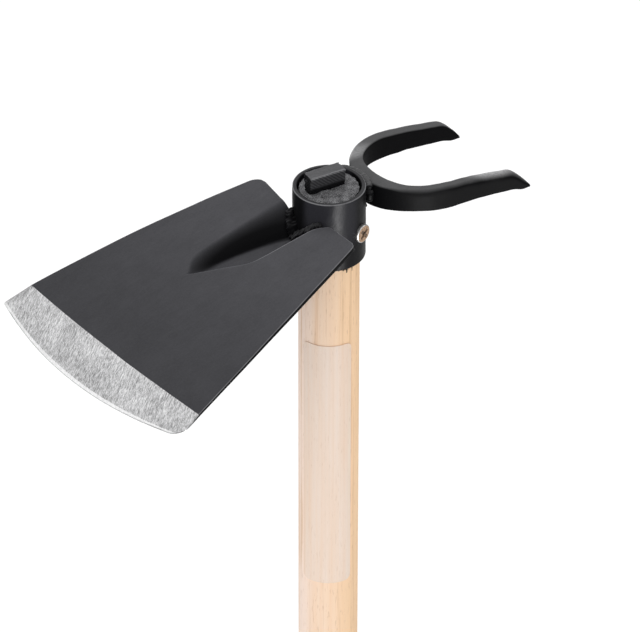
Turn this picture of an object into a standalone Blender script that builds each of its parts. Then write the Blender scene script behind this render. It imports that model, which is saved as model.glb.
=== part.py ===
"""Combination hoe: a broad blade and a two-tined fork on one long wooden handle.

The hoe stands upright on the butt of its handle. +Z runs up the handle, +X points
towards the fork and -X towards the blade. The origin is the centre of the small
flat at the butt. All sizes are in metres.
"""
import math

import bmesh
import bpy
from mathutils import Vector

# Clearance between pieces that touch on the real hoe
GAP = 0.0003

# Handle: turned beech, thick at the head and slimmer where the lower hand holds it
HANDLE_LENGTH = 1.300
HANDLE_HEAD_RADIUS = 0.01775
HANDLE_GRIP_RADIUS = 0.01425
TAPER_TOP_Z = 1.000
TAPER_BOTTOM_Z = 0.500
BUTT_FLAT_RADIUS = 0.0085
BUTT_ROUND_HEIGHT = 0.009
BUTT_STEPS = 6
TAPER_STEPS = 14
HANDLE_SIDES = 48

# Collar: a short piece of tube that the handle passes through
COLLAR_RIM_Z = 1.3015
COLLAR_HEIGHT = 0.046
COLLAR_RADIUS = 0.0212
COLLAR_WALL = 0.0026
COLLAR_EDGE = 0.0004
COLLAR_SIDES = 64

# Wedge: driven into the end grain, standing proud of it
WEDGE_LENGTH = 0.0228
WEDGE_TOP_WIDTH = 0.0086
WEDGE_TIP_WIDTH = 0.0016
WEDGE_TOP_Z = COLLAR_RIM_Z + 0.0093
WEDGE_TIP_Z = COLLAR_RIM_Z - 0.0210
WEDGE_CENTRE = (-0.0018, 0.0018)
WEDGE_TURN = math.radians(-8.5)

# Blade: a forged plate that slopes and curves down, thinning towards its cutting edge
BLADE_REAR_THICKNESS = 0.0034
BLADE_FRONT_THICKNESS = 0.0020
BLADE_REAR_X = -0.0160
BLADE_REAR_Z = COLLAR_RIM_Z - 0.0109
BLADE_FALL = 0.215
BLADE_BOW = 0.35
BLADE_REAR_HALF_WIDTH = 0.0444
BLADE_FLARE = 0.295
BLADE_FLARE_EASE = 0.30
REAR_CORNER_FAR = 0.0065
REAR_CORNER_NEAR = 0.0030
BLADE_ROWS = 19
GROUND_START = 0.1395
GROUND_START_SAG = 0.0020
EDGE_REACH = 0.1662
EDGE_SAG = 0.0120
EDGE_SKEW = 0.010
EDGE_SPAN = 0.0830
EDGE_CORNER_FAR = 0.0012
EDGE_CORNER_NEAR = 0.0085
EDGE_THICKNESS = 0.0004
COLLAR_TO_BLADE = 0.0010

# Trough: the stiffening channel pressed into the blade, deepest and widest at the collar
TROUGH_TIP_X = -0.0918
TROUGH_TIP_Y = 0.0118
TROUGH_TIP_LENGTH = 0.0155
TROUGH_TIP_DROP = 0.0062
TROUGH_FALL = 0.156
TROUGH_CREST_Y = 0.0225
TROUGH_CREST_RUN = 0.054
TROUGH_FAR_FOOT_Y = 0.0135
TROUGH_FOOT_BEND_X = -0.0800
TROUGH_FOOT_BEND = 3.15
TROUGH_NEAR_FOOT_Y = -0.0015
TROUGH_LIP_X = -0.0635
TROUGH_LIP_Y = -0.0105
TROUGH_LIP_FALL = 0.79
TROUGH_LIP_RUN = 0.110
TROUGH_LIP_TURN = 0.0040
TROUGH_FLARE_X = -0.0260
TROUGH_FLARE = 0.0055
TROUGH_LEAST_RISE = 0.0006
TROUGH_WALL_CURVE = 0.72
TROUGH_CREST_ROUND = 0.0008
TROUGH_LIP_BAND = 0.18
TROUGH_CREST_BAND = 0.30
TROUGH_LIP_ROUND = 0.0008
TROUGH_LIP_CURVE = 0.90
TROUGH_LIP_SOFT_X = -0.0760
TROUGH_LIP_SOFT_RUN = 0.0160
TROUGH_FOOT_ROUND = 0.0016
TROUGH_ROUND_SHARE = 0.40
TROUGH_COLUMNS = (4, 4, 4, 4, 5, 5, 4)
# The rear edge of the far half is drawn in beside the trough
REAR_DRAW = 0.0030
REAR_DRAW_START_Y = 0.0420
REAR_DRAW_END_Y = 0.0210

# Fork: one bar bent into a U behind the collar, its two tines drooping to chisel tips
FORK_BEND_X = 0.0662
FORK_HALF_SPAN = 0.0323
FORK_OFF_COLLAR = 0.0023
FORK_BASE_WIDTH = 0.0100
FORK_TINE_WIDTH = 0.0074
FORK_WIDTH_POWER = 7.0
FORK_BEND_POWER = 0.94
FORK_BEND_STEPS = 24
FORK_CHAMFER_X = 0.1085
FORK_BEVEL_X = 0.1150
FORK_TIP_X = 0.1200
FORK_CORNER = 0.0013
FORK_CORNER_SHARE = 0.45
# Height of the bar's upper and lower face below the collar's rim: (x, upper, lower)
FORK_PROFILE = (
    (0.0210, 0.0036, 0.0212),
    (0.0400, 0.0063, 0.0200),
    (0.0620, 0.0080, 0.0224),
    (0.0810, 0.0114, 0.0243),
    (0.1085, 0.0182, 0.0294),
    (0.1150, 0.0238, 0.0322),
    (0.1200, 0.0302, 0.0320),
)
# Where the straight tines have a section of their own
FORK_TINE_STATIONS = (FORK_TIP_X, FORK_BEVEL_X, FORK_CHAMFER_X, 0.0980, 0.0880, 0.0810)

# Fixing screw: through the collar into the wood, turned from -Y towards the fork
SCREW_Z = COLLAR_RIM_Z - 0.0260
SCREW_TURN = math.radians(14)
SCREW_OFFSET = 0.0031
SCREW_HEAD_RADIUS = 0.0056
SCREW_HEAD_HEIGHT = 0.0020
SCREW_SHANK_RADIUS = 0.0023
SCREW_LENGTH = 0.0240
SCREW_TIP_LENGTH = 0.0050
SCREW_TIP_RADIUS = 0.0002
SCREW_HEAD_RIM = 0.60
SCREW_CROWN_POWER = 0.4
SCREW_SIDES = 24
RECESS_TURN = math.radians(40)
RECESS_LENGTH = 0.0064
RECESS_FLOOR_LENGTH = 0.0036
RECESS_WIDTH = 0.0012
RECESS_DEPTH = 0.0014

# Label: a clear film round the front of the handle, turned from -Y towards the blade
LABEL_TOP_Z = COLLAR_RIM_Z - 0.1005
LABEL_BOTTOM_Z = COLLAR_RIM_Z - 0.2735
LABEL_HALF_ANGLE = math.radians(49)
LABEL_CENTRE = math.radians(-132)
LABEL_THICKNESS = 0.00025
LABEL_CORNER = 0.0035
LABEL_COLUMNS = 14
LABEL_ROWS = 8

# Weld beads: their size, how far each lies off the corner it fills, and the torch's ripples
UPPER_BEAD_RADIUS = 0.0042
UPPER_BEAD_LIFT = 0.0020
UPPER_BEAD_SPAN = math.radians(41)
UNDER_BEAD_RADIUS = 0.0021
UNDER_BEAD_LIFT = 0.0020
UNDER_BEAD_SPAN = math.radians(30)
BLADE_BEAD_OFF = 0.0016
BLADE_BEAD_MIDDLE = math.radians(181)
FORK_ARC_RADIUS = 0.0026
FORK_ARC_OFF = 0.0016
FORK_ARC_LIFT = 0.0004
FORK_ARC_SPAN = math.radians(26)
FORK_SIDE_RADIUS = 0.0030
FORK_SIDE_OFF = 0.0022
FORK_SIDE_TURN = math.radians(26)
FORK_SIDE_LOW_Z = COLLAR_RIM_Z - 0.0160
FORK_SIDE_HIGH_Z = COLLAR_RIM_Z - 0.0085
ARC_BEAD_STEPS = 40
SIDE_BEAD_STEPS = 8
BEAD_END_SIZE = 0.45
BEAD_END_POWER = 0.5
BEAD_RIPPLE = 0.06
BEAD_PITCH = 0.0048
BEAD_SIDES = 14


def clear_scene():
    for old in list(bpy.data.objects):
        bpy.data.objects.remove(old, do_unlink=True)


def material(name, colour, roughness, metallic=0.0, alpha=1.0):
    mat = bpy.data.materials.new(name)
    mat.use_nodes = True
    shader = mat.node_tree.nodes["Principled BSDF"]
    shader.inputs["Base Color"].default_value = (*colour, 1.0)
    shader.inputs["Roughness"].default_value = roughness
    shader.inputs["Metallic"].default_value = metallic
    shader.inputs["Alpha"].default_value = alpha
    return mat


def add_object(name, bm, mat=None):
    """Turn a closed bmesh into a scene object with its faces pointing outwards."""
    bmesh.ops.recalc_face_normals(bm, faces=bm.faces)
    mesh = bpy.data.meshes.new(name)
    bm.to_mesh(mesh)
    bm.free()
    mesh.shade_smooth()
    mesh.set_sharp_from_angle(angle=math.radians(35))
    if mat:
        mesh.materials.append(mat)
    obj = bpy.data.objects.new(name, mesh)
    bpy.context.scene.collection.objects.link(obj)
    return obj


def add_cutter(name, bm):
    cutter = add_object(name, bm)
    cutter.hide_render = True
    cutter.display_type = "WIRE"
    return cutter


def subtract(obj, cutter):
    cut = obj.modifiers.new("cut_" + cutter.name, "BOOLEAN")
    cut.operation = "DIFFERENCE"
    cut.solver = "EXACT"
    cut.object = cutter


def loft(rings, closed=False):
    """Skin a row of rings of points; the two end rings are capped unless it closes."""
    bm = bmesh.new()
    rows = [[bm.verts.new(point) for point in ring] for ring in rings]
    pairs = list(zip(rows, rows[1:]))
    if closed:
        pairs.append((rows[-1], rows[0]))
    else:
        bm.faces.new(rows[0])
        bm.faces.new(rows[-1])
    for near, far in pairs:
        for i in range(len(near)):
            j = (i + 1) % len(near)
            bm.faces.new((near[i], near[j], far[j], far[i]))
    return bm


def sheet(upper, lower):
    """Join two grids of points, of like rows and columns, into a thin closed solid."""
    bm = bmesh.new()
    top = [[bm.verts.new(point) for point in row] for row in upper]
    low = [[bm.verts.new(point) for point in row] for row in lower]
    for grid in (top, low):
        for near, far in zip(grid, grid[1:]):
            for i in range(len(near) - 1):
                bm.faces.new((near[i], near[i + 1], far[i + 1], far[i]))
    top_rim, low_rim = grid_rim(top), grid_rim(low)
    for i in range(len(top_rim)):
        j = (i + 1) % len(top_rim)
        bm.faces.new((top_rim[i], top_rim[j], low_rim[j], low_rim[i]))
    return bm


def grid_rim(grid):
    """The border of a grid, once round."""
    right = [row[-1] for row in grid[1:-1]]
    left = [row[0] for row in grid[1:-1]]
    return grid[0] + right + grid[-1][::-1] + left[::-1]


def circle(radius, z, sides):
    steps = [2 * math.pi * i / sides for i in range(sides)]
    return [(radius * math.cos(a), radius * math.sin(a), z) for a in steps]


def ease(fraction):
    """0 to 1 with a smooth start and end."""
    return 0.5 - 0.5 * math.cos(math.pi * min(max(fraction, 0.0), 1.0))


def blend(points, x, column):
    """Value of one column of a table at x, with straight lines between its rows."""
    for low, high in zip(points, points[1:]):
        if x <= high[0]:
            break
    part = min(max((x - low[0]) / (high[0] - low[0]), 0.0), 1.0)
    return low[column] + part * (high[column] - low[column])


def corner_inset(distance, radius):
    """How far a rounded corner pulls a side in, at a distance from the end it meets."""
    if distance >= radius:
        return 0.0
    return radius - math.sqrt(radius ** 2 - (radius - distance) ** 2)


def corner_steps(radius, count=4):
    """Distances from an end at which a rounded corner is sampled."""
    return [radius * (1 - math.cos(0.5 * math.pi * i / count)) for i in range(count + 1)]


# Handle and wedge


def handle_radius(z):
    slim = ease((TAPER_TOP_Z - z) / (TAPER_TOP_Z - TAPER_BOTTOM_Z))
    return HANDLE_HEAD_RADIUS + slim * (HANDLE_GRIP_RADIUS - HANDLE_HEAD_RADIUS)


def handle_rings():
    """Circles from the flat at the butt, round its edge and up the taper to the end grain."""
    rings = []
    rise = HANDLE_GRIP_RADIUS - BUTT_FLAT_RADIUS
    for i in range(BUTT_STEPS):
        turn = 0.5 * math.pi * i / BUTT_STEPS
        radius = BUTT_FLAT_RADIUS + rise * math.sin(turn)
        rings.append(circle(radius, BUTT_ROUND_HEIGHT * (1 - math.cos(turn)), HANDLE_SIDES))
    heights = [BUTT_ROUND_HEIGHT]
    for i in range(TAPER_STEPS + 1):
        heights.append(TAPER_BOTTOM_Z + (TAPER_TOP_Z - TAPER_BOTTOM_Z) * i / TAPER_STEPS)
    heights.append(HANDLE_LENGTH)
    rings += [circle(handle_radius(z), z, HANDLE_SIDES) for z in heights]
    return rings


def wedge_ring(z, grow):
    """One level of the wedge: a rectangle whose width shrinks towards the tip."""
    part = (z - WEDGE_TIP_Z) / (WEDGE_TOP_Z - WEDGE_TIP_Z)
    half_width = 0.5 * (WEDGE_TIP_WIDTH + part * (WEDGE_TOP_WIDTH - WEDGE_TIP_WIDTH)) + grow
    half_length = 0.5 * WEDGE_LENGTH + grow
    ring = []
    for along, across in ((-1, -1), (1, -1), (1, 1), (-1, 1)):
        u, v = along * half_length, across * half_width
        x = WEDGE_CENTRE[0] + u * math.cos(WEDGE_TURN) - v * math.sin(WEDGE_TURN)
        y = WEDGE_CENTRE[1] + u * math.sin(WEDGE_TURN) + v * math.cos(WEDGE_TURN)
        ring.append((x, y, z))
    return ring


def make_wedge():
    paint = material("wedge_paint", (0.022, 0.022, 0.024), 0.7)
    add_object("handle_wedge", loft([wedge_ring(WEDGE_TIP_Z, 0), wedge_ring(WEDGE_TOP_Z, 0)]), paint)


def make_handle():
    handle = add_object("handle", loft(handle_rings()), material("beech", (0.80, 0.60, 0.42), 0.55))
    slot = loft([wedge_ring(WEDGE_TIP_Z - GAP, GAP), wedge_ring(WEDGE_TOP_Z, GAP)])
    subtract(handle, add_cutter("wedge_slot", slot))
    subtract(handle, add_cutter("pilot_hole", loft(screw_rings(pilot_profile()))))


# Collar


def collar_rings():
    """The tube's wall, with its edges broken, carried once round the handle."""
    inner = COLLAR_RADIUS - COLLAR_WALL
    low, high, edge = COLLAR_RIM_Z - COLLAR_HEIGHT, COLLAR_RIM_Z, COLLAR_EDGE
    wall = (
        (inner, low + edge),
        (inner + edge, low),
        (COLLAR_RADIUS - edge, low),
        (COLLAR_RADIUS, low + edge),
        (COLLAR_RADIUS, high - edge),
        (COLLAR_RADIUS - edge, high),
        (inner + edge, high),
        (inner, high - edge),
    )
    rings = []
    for i in range(COLLAR_SIDES):
        turn = 2 * math.pi * i / COLLAR_SIDES
        rings.append([(r * math.cos(turn), r * math.sin(turn), z) for r, z in wall])
    return rings


def make_collar():
    paint = material("collar_paint", (0.035, 0.035, 0.038), 0.42)
    collar = add_object("socket_collar", loft(collar_rings(), closed=True), paint)
    radius = SCREW_SHANK_RADIUS + GAP
    hole = ((COLLAR_RADIUS - 2 * COLLAR_WALL, radius), (COLLAR_RADIUS + COLLAR_WALL, radius))
    subtract(collar, add_cutter("screw_hole", loft(screw_rings(hole))))


# Fixing screw


def screw_point(distance, side, up):
    """Point at a distance from the handle's axis along the screw, and off the screw's own axis."""
    out_way = Vector((math.sin(SCREW_TURN), -math.cos(SCREW_TURN), 0))
    side_way = Vector((math.cos(SCREW_TURN), math.sin(SCREW_TURN), 0))
    return out_way * distance + side_way * (SCREW_OFFSET + side) + Vector((0, 0, SCREW_Z + up))


def screw_rings(profile):
    """Circles square to the screw's axis: profile holds (distance from the handle's axis, radius)."""
    turns = [2 * math.pi * i / SCREW_SIDES for i in range(SCREW_SIDES)]
    rings = []
    for distance, radius in profile:
        rings.append([screw_point(distance, radius * math.cos(a), radius * math.sin(a)) for a in turns])
    return rings


def screw_seat():
    """Distance of the underside of the screw's head from the handle's axis."""
    return COLLAR_RADIUS + GAP


def pilot_profile():
    """The hole in the wood, from its blind end to outside the handle."""
    end = screw_seat() - SCREW_LENGTH - GAP
    radius = SCREW_SHANK_RADIUS + GAP
    return ((end, GAP), (end + SCREW_TIP_LENGTH, radius), (HANDLE_HEAD_RADIUS + GAP, radius))


def screw_profile():
    """Point, shank and pan head with a rounded crown."""
    seat = screw_seat()
    point = seat - SCREW_LENGTH
    profile = [
        (point, SCREW_TIP_RADIUS),
        (point + SCREW_TIP_LENGTH, SCREW_SHANK_RADIUS),
        (seat, SCREW_SHANK_RADIUS),
        (seat, SCREW_HEAD_RADIUS),
    ]
    rim = SCREW_HEAD_RIM * SCREW_HEAD_HEIGHT
    crown = SCREW_HEAD_HEIGHT - rim
    steps = 6
    for i in range(steps):
        turn = 0.5 * math.pi * i / steps
        radius = SCREW_HEAD_RADIUS * math.cos(turn) ** SCREW_CROWN_POWER
        profile.append((seat + rim + crown * math.sin(turn), radius))
    return profile


def recess_rings(turn):
    """One bar of the cross recess: a slot that narrows towards its floor."""
    crown = screw_seat() + SCREW_HEAD_HEIGHT
    half_width = 0.5 * RECESS_WIDTH
    rings = []
    for depth, length in ((RECESS_DEPTH, RECESS_FLOOR_LENGTH), (0.0, RECESS_LENGTH), (-GAP, RECESS_LENGTH)):
        ring = []
        for u, v in ((-1, -1), (1, -1), (1, 1), (-1, 1)):
            along, across = 0.5 * u * length, v * half_width
            side = along * math.cos(turn) - across * math.sin(turn)
            up = along * math.sin(turn) + across * math.cos(turn)
            ring.append(screw_point(crown - depth, side, up))
        rings.append(ring)
    return rings


def make_screw():
    zinc = material("zinc", (0.62, 0.58, 0.50), 0.35, 1.0)
    screw = add_object("fixing_screw", loft(screw_rings(screw_profile())), zinc)
    for name, turn in (("recess_bar", RECESS_TURN), ("recess_cross_bar", RECESS_TURN + 0.5 * math.pi)):
        subtract(screw, add_cutter(name, loft(recess_rings(turn))))


# Blade


def soft_least(a, b, rounding):
    """The smaller of two values, with a rounded turn from one to the other."""
    return 0.5 * (a + b - math.sqrt((a - b) ** 2 + rounding ** 2))


def tip_part(x):
    """0 at the trough's tip and beyond it, 1 where the trough has its full width."""
    return min(max((x - TROUGH_TIP_X) / TROUGH_TIP_LENGTH, 0.0), 1.0)


def far_side(x, side):
    """A line of the far side, drawn in round the tip."""
    part = max(tip_part(x), GAP)
    return TROUGH_TIP_Y + (side - TROUGH_TIP_Y) * part * (2 - part)


def far_foot_y(x):
    """The foot of the far wall, which draws in towards the collar."""
    bend = TROUGH_FOOT_BEND * max(x - TROUGH_FOOT_BEND_X, 0.0) ** 2
    return far_side(x, TROUGH_FAR_FOOT_Y) - bend


def crest_y(x):
    """The far crest, which draws in a little towards the collar."""
    run = TROUGH_CREST_RUN * max(x - TROUGH_TIP_X - TROUGH_TIP_LENGTH, 0.0)
    return far_side(x, TROUGH_CREST_Y) - run


def lip_y(x):
    """The near lip: straight from the tip, then along the trough, and flared at the collar."""
    leaving = TROUGH_TIP_Y - TROUGH_LIP_FALL * max(x - TROUGH_TIP_X, 0.0)
    along = TROUGH_LIP_Y - TROUGH_LIP_RUN * max(x - TROUGH_LIP_X, TROUGH_TIP_X - TROUGH_LIP_X)
    flare = max((x - TROUGH_FLARE_X) / (BLADE_REAR_X - TROUGH_FLARE_X), 0.0)
    return -soft_least(-leaving, -along, TROUGH_LIP_TURN) - TROUGH_FLARE * flare ** 2


def near_foot_y(x):
    """The foot of the near wall, straight from the tip and then level."""
    part = min(max((x - TROUGH_TIP_X) / (TROUGH_LIP_X - TROUGH_TIP_X), 0.0), 1.0)
    return max(TROUGH_TIP_Y + (TROUGH_NEAR_FOOT_Y - TROUGH_TIP_Y) * part, lip_y(x) + GAP)


def curved(part, curve):
    """A wall's fall, 0 at its top and 1 at its foot: straight, or gentle at first with a curve."""
    return part * (1 + curve * (abs(part) - 1))


def trough_depth(x, y):
    """Depth of the pressed trough: a level floor between two walls, with rounded turns."""
    tip = tip_part(x)
    floor = TROUGH_FALL * (x - TROUGH_TIP_X) + TROUGH_TIP_DROP * tip * (2 - tip)
    rise = max(floor, TROUGH_LEAST_RISE)
    soft = 1 - ease((x - TROUGH_LIP_SOFT_X) / TROUGH_LIP_SOFT_RUN)
    from_crest = (crest_y(x) - y) / (crest_y(x) - far_foot_y(x))
    from_lip = (y - lip_y(x)) / (near_foot_y(x) - lip_y(x))
    far_wall = rise * curved(from_crest, tip * TROUGH_WALL_CURVE)
    near_wall = rise * curved(from_lip, soft * TROUGH_LIP_CURVE)
    most_round = TROUGH_ROUND_SHARE * rise
    foot_round = min(TROUGH_FOOT_ROUND, most_round)
    pressed = soft_least(soft_least(far_wall, near_wall, foot_round), floor, foot_round)
    far_part = ease((y - near_foot_y(x)) / (far_foot_y(x) - near_foot_y(x)))
    rounding = TROUGH_LIP_ROUND + far_part * (TROUGH_CREST_ROUND - TROUGH_LIP_ROUND)
    return -soft_least(-pressed, 0.0, min(rounding, most_round))


def blade_height(x, y):
    """Height of the upper face before its cutting edge is ground."""
    out = BLADE_REAR_X - x
    return BLADE_REAR_Z - BLADE_FALL * out - BLADE_BOW * out ** 2 - trough_depth(x, y)


def blade_normal(x, y):
    step = 0.0001
    slope_x = (blade_height(x + step, y) - blade_height(x - step, y)) / (2 * step)
    slope_y = (blade_height(x, y + step) - blade_height(x, y - step)) / (2 * step)
    return Vector((-slope_x, -slope_y, 1)).normalized()


def blade_half_width(out):
    return BLADE_REAR_HALF_WIDTH + BLADE_FLARE * out - BLADE_FLARE_EASE * out ** 2


def rear_x(y):
    """The rear edge, drawn in beside the trough on the far half and clear of the collar."""
    slant = (REAR_DRAW_START_Y - y) / (REAR_DRAW_START_Y - REAR_DRAW_END_Y)
    drawn = min(max(slant, 0.0), 1.0) if y > 0 else 0.0
    clear = COLLAR_RADIUS + COLLAR_TO_BLADE
    round_collar = math.sqrt(max(clear ** 2 - y ** 2, 0.0))
    return -max(REAR_DRAW * drawn - BLADE_REAR_X, round_collar)


def ground_x(y):
    """Where the paint stops and the ground band starts."""
    return BLADE_REAR_X - GROUND_START + GROUND_START_SAG * (y / EDGE_SPAN) ** 2


def edge_x(y):
    """The cutting edge: a shallow arc, ground a little further back on the near side."""
    return BLADE_REAR_X - EDGE_REACH + EDGE_SAG * (y / EDGE_SPAN) ** 2 - EDGE_SKEW * y


def blade_columns(out, near_half, far_half):
    """Positions across one row: close together at the turns of the trough, wider elsewhere."""
    x = BLADE_REAR_X - out
    stops = (
        -near_half,
        lip_y(x) - 2 * TROUGH_LIP_ROUND,
        lip_y(x) + TROUGH_LIP_BAND * (near_foot_y(x) - lip_y(x)),
        near_foot_y(x),
        far_foot_y(x),
        crest_y(x) - TROUGH_CREST_BAND * (crest_y(x) - far_foot_y(x)),
        crest_y(x) + 2 * TROUGH_CREST_ROUND,
        far_half,
    )
    columns = [stops[0]]
    for start, end, count in zip(stops, stops[1:], TROUGH_COLUMNS):
        columns += [start + (end - start) * (i + 1) / count for i in range(count)]
    return columns


def painted_end():
    """Distance out from the rear edge to the ground band, along the blade's sides."""
    return GROUND_START - GROUND_START_SAG


def edge_end():
    """The same to the ends of the cutting edge."""
    return EDGE_REACH - EDGE_SAG


def painted_rows():
    """Distances out of the rows of points on the painted part, close at its rear corners."""
    step = (painted_end() - REAR_CORNER_FAR) / BLADE_ROWS
    straight = [REAR_CORNER_FAR + step * i for i in range(1, BLADE_ROWS + 1)]
    return corner_steps(REAR_CORNER_FAR) + straight


def ground_rows():
    """The same for the ground band, close at the rounded ends of the cutting edge."""
    rounded = [edge_end() - step for step in corner_steps(EDGE_CORNER_NEAR)[::-1]]
    middle = 0.5 * (painted_end() + rounded[0])
    return [middle] + rounded


def blade_row(out, grow):
    """Upper and lower points of one row across the blade."""
    near_corners = corner_inset(out, REAR_CORNER_NEAR) + corner_inset(edge_end() - out, EDGE_CORNER_NEAR)
    far_corners = corner_inset(out, REAR_CORNER_FAR) + corner_inset(edge_end() - out, EDGE_CORNER_FAR)
    near_half = blade_half_width(out) - near_corners + grow
    far_half = blade_half_width(out) - far_corners + grow
    painted = min(out / painted_end(), 1.0)
    ground = max((out - painted_end()) / (edge_end() - painted_end()), 0.0)
    plate = BLADE_REAR_THICKNESS + painted * (BLADE_FRONT_THICKNESS - BLADE_REAR_THICKNESS)
    ground_off = ground * (plate - EDGE_THICKNESS)
    upper, lower = [], []
    for y in blade_columns(out, near_half, far_half):
        rear = rear_x(y) + (grow if out == 0.0 else 0.0)
        x = rear + painted * (ground_x(y) - rear) + ground * (edge_x(y) - ground_x(y))
        surface = Vector((x, y, blade_height(x, y)))
        normal = blade_normal(x, y)
        upper.append(surface + normal * (grow - ground_off))
        lower.append(surface - normal * (plate + grow))
    return upper, lower


def blade_sheet(grow):
    rows = [blade_row(out, grow) for out in painted_rows() + ground_rows()]
    return sheet([row[0] for row in rows], [row[1] for row in rows])


def make_blade():
    paint = material("blade_paint", (0.060, 0.060, 0.062), 0.38)
    add_object("hoe_blade", blade_sheet(0.0), paint)


# Fork


def fork_centre(turn):
    """Point on the bar's centre line in plan, round the bend from one tine to the other."""
    bend_depth = FORK_BEND_X - (COLLAR_RADIUS + FORK_OFF_COLLAR + 0.5 * FORK_BASE_WIDTH)
    along = abs(math.cos(turn)) ** FORK_BEND_POWER
    across = math.copysign(abs(math.sin(turn)) ** FORK_BEND_POWER, turn)
    return Vector((FORK_BEND_X - bend_depth * along, FORK_HALF_SPAN * across, 0))


def fork_width(turn):
    """The bar is thickest at the middle of the bend, where it meets the collar."""
    return FORK_TINE_WIDTH + (FORK_BASE_WIDTH - FORK_TINE_WIDTH) * math.cos(turn) ** FORK_WIDTH_POWER


def fork_stations():
    """Centre, sideways direction and width of the bar, from one tip round to the other."""
    stations = []
    for x in FORK_TINE_STATIONS:
        stations.append((Vector((x, -FORK_HALF_SPAN, 0)), Vector((0, -1, 0)), FORK_TINE_WIDTH))
    quarter, nudge = 0.5 * math.pi, 0.01
    for i in range(FORK_BEND_STEPS + 1):
        turn = math.pi * (i / FORK_BEND_STEPS - 0.5)
        ahead = fork_centre(min(turn + nudge, quarter))
        behind = fork_centre(max(turn - nudge, -quarter))
        run = (ahead - behind).normalized()
        stations.append((fork_centre(turn), Vector((-run.y, run.x, 0)), fork_width(turn)))
    for x in FORK_TINE_STATIONS[::-1]:
        stations.append((Vector((x, FORK_HALF_SPAN, 0)), Vector((0, 1, 0)), FORK_TINE_WIDTH))
    return stations


def fork_section(centre, side, width, grow):
    """The bar's cross-section at one station: a rectangle with rounded corners."""
    top = COLLAR_RIM_Z - blend(FORK_PROFILE, centre.x, 1) + grow
    bottom = COLLAR_RIM_Z - blend(FORK_PROFILE, centre.x, 2) - grow
    half = 0.5 * width + grow
    corner = min(FORK_CORNER, FORK_CORNER_SHARE * (top - bottom))
    ring = []
    for across, up, start in ((1, 1, 0), (-1, 1, 90), (-1, -1, 180), (1, -1, 270)):
        middle_z = (top - corner) if up > 0 else (bottom + corner)
        for step in (0, 45, 90):
            turn = math.radians(start + step)
            sideways = across * (half - corner) + corner * math.cos(turn)
            point = centre + side * sideways
            point.z = middle_z + corner * math.sin(turn)
            ring.append(point)
    return ring


def fork_rings(grow):
    return [fork_section(centre, side, width, grow) for centre, side, width in fork_stations()]


def make_fork():
    paint = material("fork_paint", (0.030, 0.030, 0.033), 0.42)
    add_object("fork", loft(fork_rings(0.0)), paint)


# Label


def label_rows():
    """Heights of the rows of the label and how far its rounded corners pull each one in."""
    rounded = corner_steps(LABEL_CORNER, 3)
    step = (LABEL_TOP_Z - LABEL_BOTTOM_Z - 2 * LABEL_CORNER) / LABEL_ROWS
    middle = [LABEL_BOTTOM_Z + LABEL_CORNER + step * i for i in range(1, LABEL_ROWS)]
    heights = [LABEL_BOTTOM_Z + up for up in rounded] + middle + [LABEL_TOP_Z - up for up in rounded[::-1]]
    return [(z, corner_inset(min(z - LABEL_BOTTOM_Z, LABEL_TOP_Z - z), LABEL_CORNER)) for z in heights]


def label_grid(radius):
    grid = []
    for z, inset in label_rows():
        half_angle = LABEL_HALF_ANGLE - inset / radius
        step = 2 * half_angle / LABEL_COLUMNS
        turns = [LABEL_CENTRE - half_angle + step * i for i in range(LABEL_COLUMNS + 1)]
        grid.append([(radius * math.cos(a), radius * math.sin(a), z) for a in turns])
    return grid


def make_label():
    film = material("clear_film", (0.92, 0.90, 0.86), 0.25, alpha=0.3)
    inner = HANDLE_HEAD_RADIUS + GAP
    add_object("label_film", sheet(label_grid(inner + LABEL_THICKNESS), label_grid(inner)), film)


# Weld beads


def bead_rings(path, radius, upright):
    """A rippled bead along points round the collar, or up it when upright, smaller at its ends."""
    rings = []
    travelled = 0.0
    last = len(path) - 1
    up = Vector((0, 0, 1))
    for i, point in enumerate(path):
        travelled += (point - path[max(i - 1, 0)]).length
        out = Vector((point.x, point.y, 0)).normalized()
        other = up.cross(out) if upright else up
        taper = BEAD_END_SIZE + (1 - BEAD_END_SIZE) * abs(math.sin(math.pi * i / last)) ** BEAD_END_POWER
        size = radius * taper * (1 + BEAD_RIPPLE * math.sin(2 * math.pi * travelled / BEAD_PITCH))
        turns = [2 * math.pi * j / BEAD_SIDES for j in range(BEAD_SIDES)]
        rings.append([point + size * (out * math.cos(a) + other * math.sin(a)) for a in turns])
    return rings


def round_collar(off, middle, half_span):
    """Points round the collar in plan, off it by a little."""
    points = []
    for i in range(ARC_BEAD_STEPS + 1):
        turn = middle + half_span * (2 * i / ARC_BEAD_STEPS - 1)
        points.append(Vector((math.cos(turn), math.sin(turn), 0)) * (COLLAR_RADIUS + off))
    return points


def blade_path(lift, half_span):
    """Points along the corner between the collar and the blade, lifted square off the blade."""
    path = []
    for foot in round_collar(BLADE_BEAD_OFF, BLADE_BEAD_MIDDLE, half_span):
        surface = Vector((foot.x, foot.y, blade_height(foot.x, foot.y)))
        lifted = surface + blade_normal(foot.x, foot.y) * lift
        point = Vector((lifted.x, lifted.y, 0)).normalized() * (COLLAR_RADIUS + BLADE_BEAD_OFF)
        point.z = lifted.z
        path.append(point)
    return path


def fork_path(column, lift):
    """Points along the corner between the collar and the fork's upper or lower face."""
    path = round_collar(FORK_ARC_OFF, 0.0, FORK_ARC_SPAN)
    for point in path:
        point.z = COLLAR_RIM_Z - blend(FORK_PROFILE, point.x, column) + lift
    return path


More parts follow.
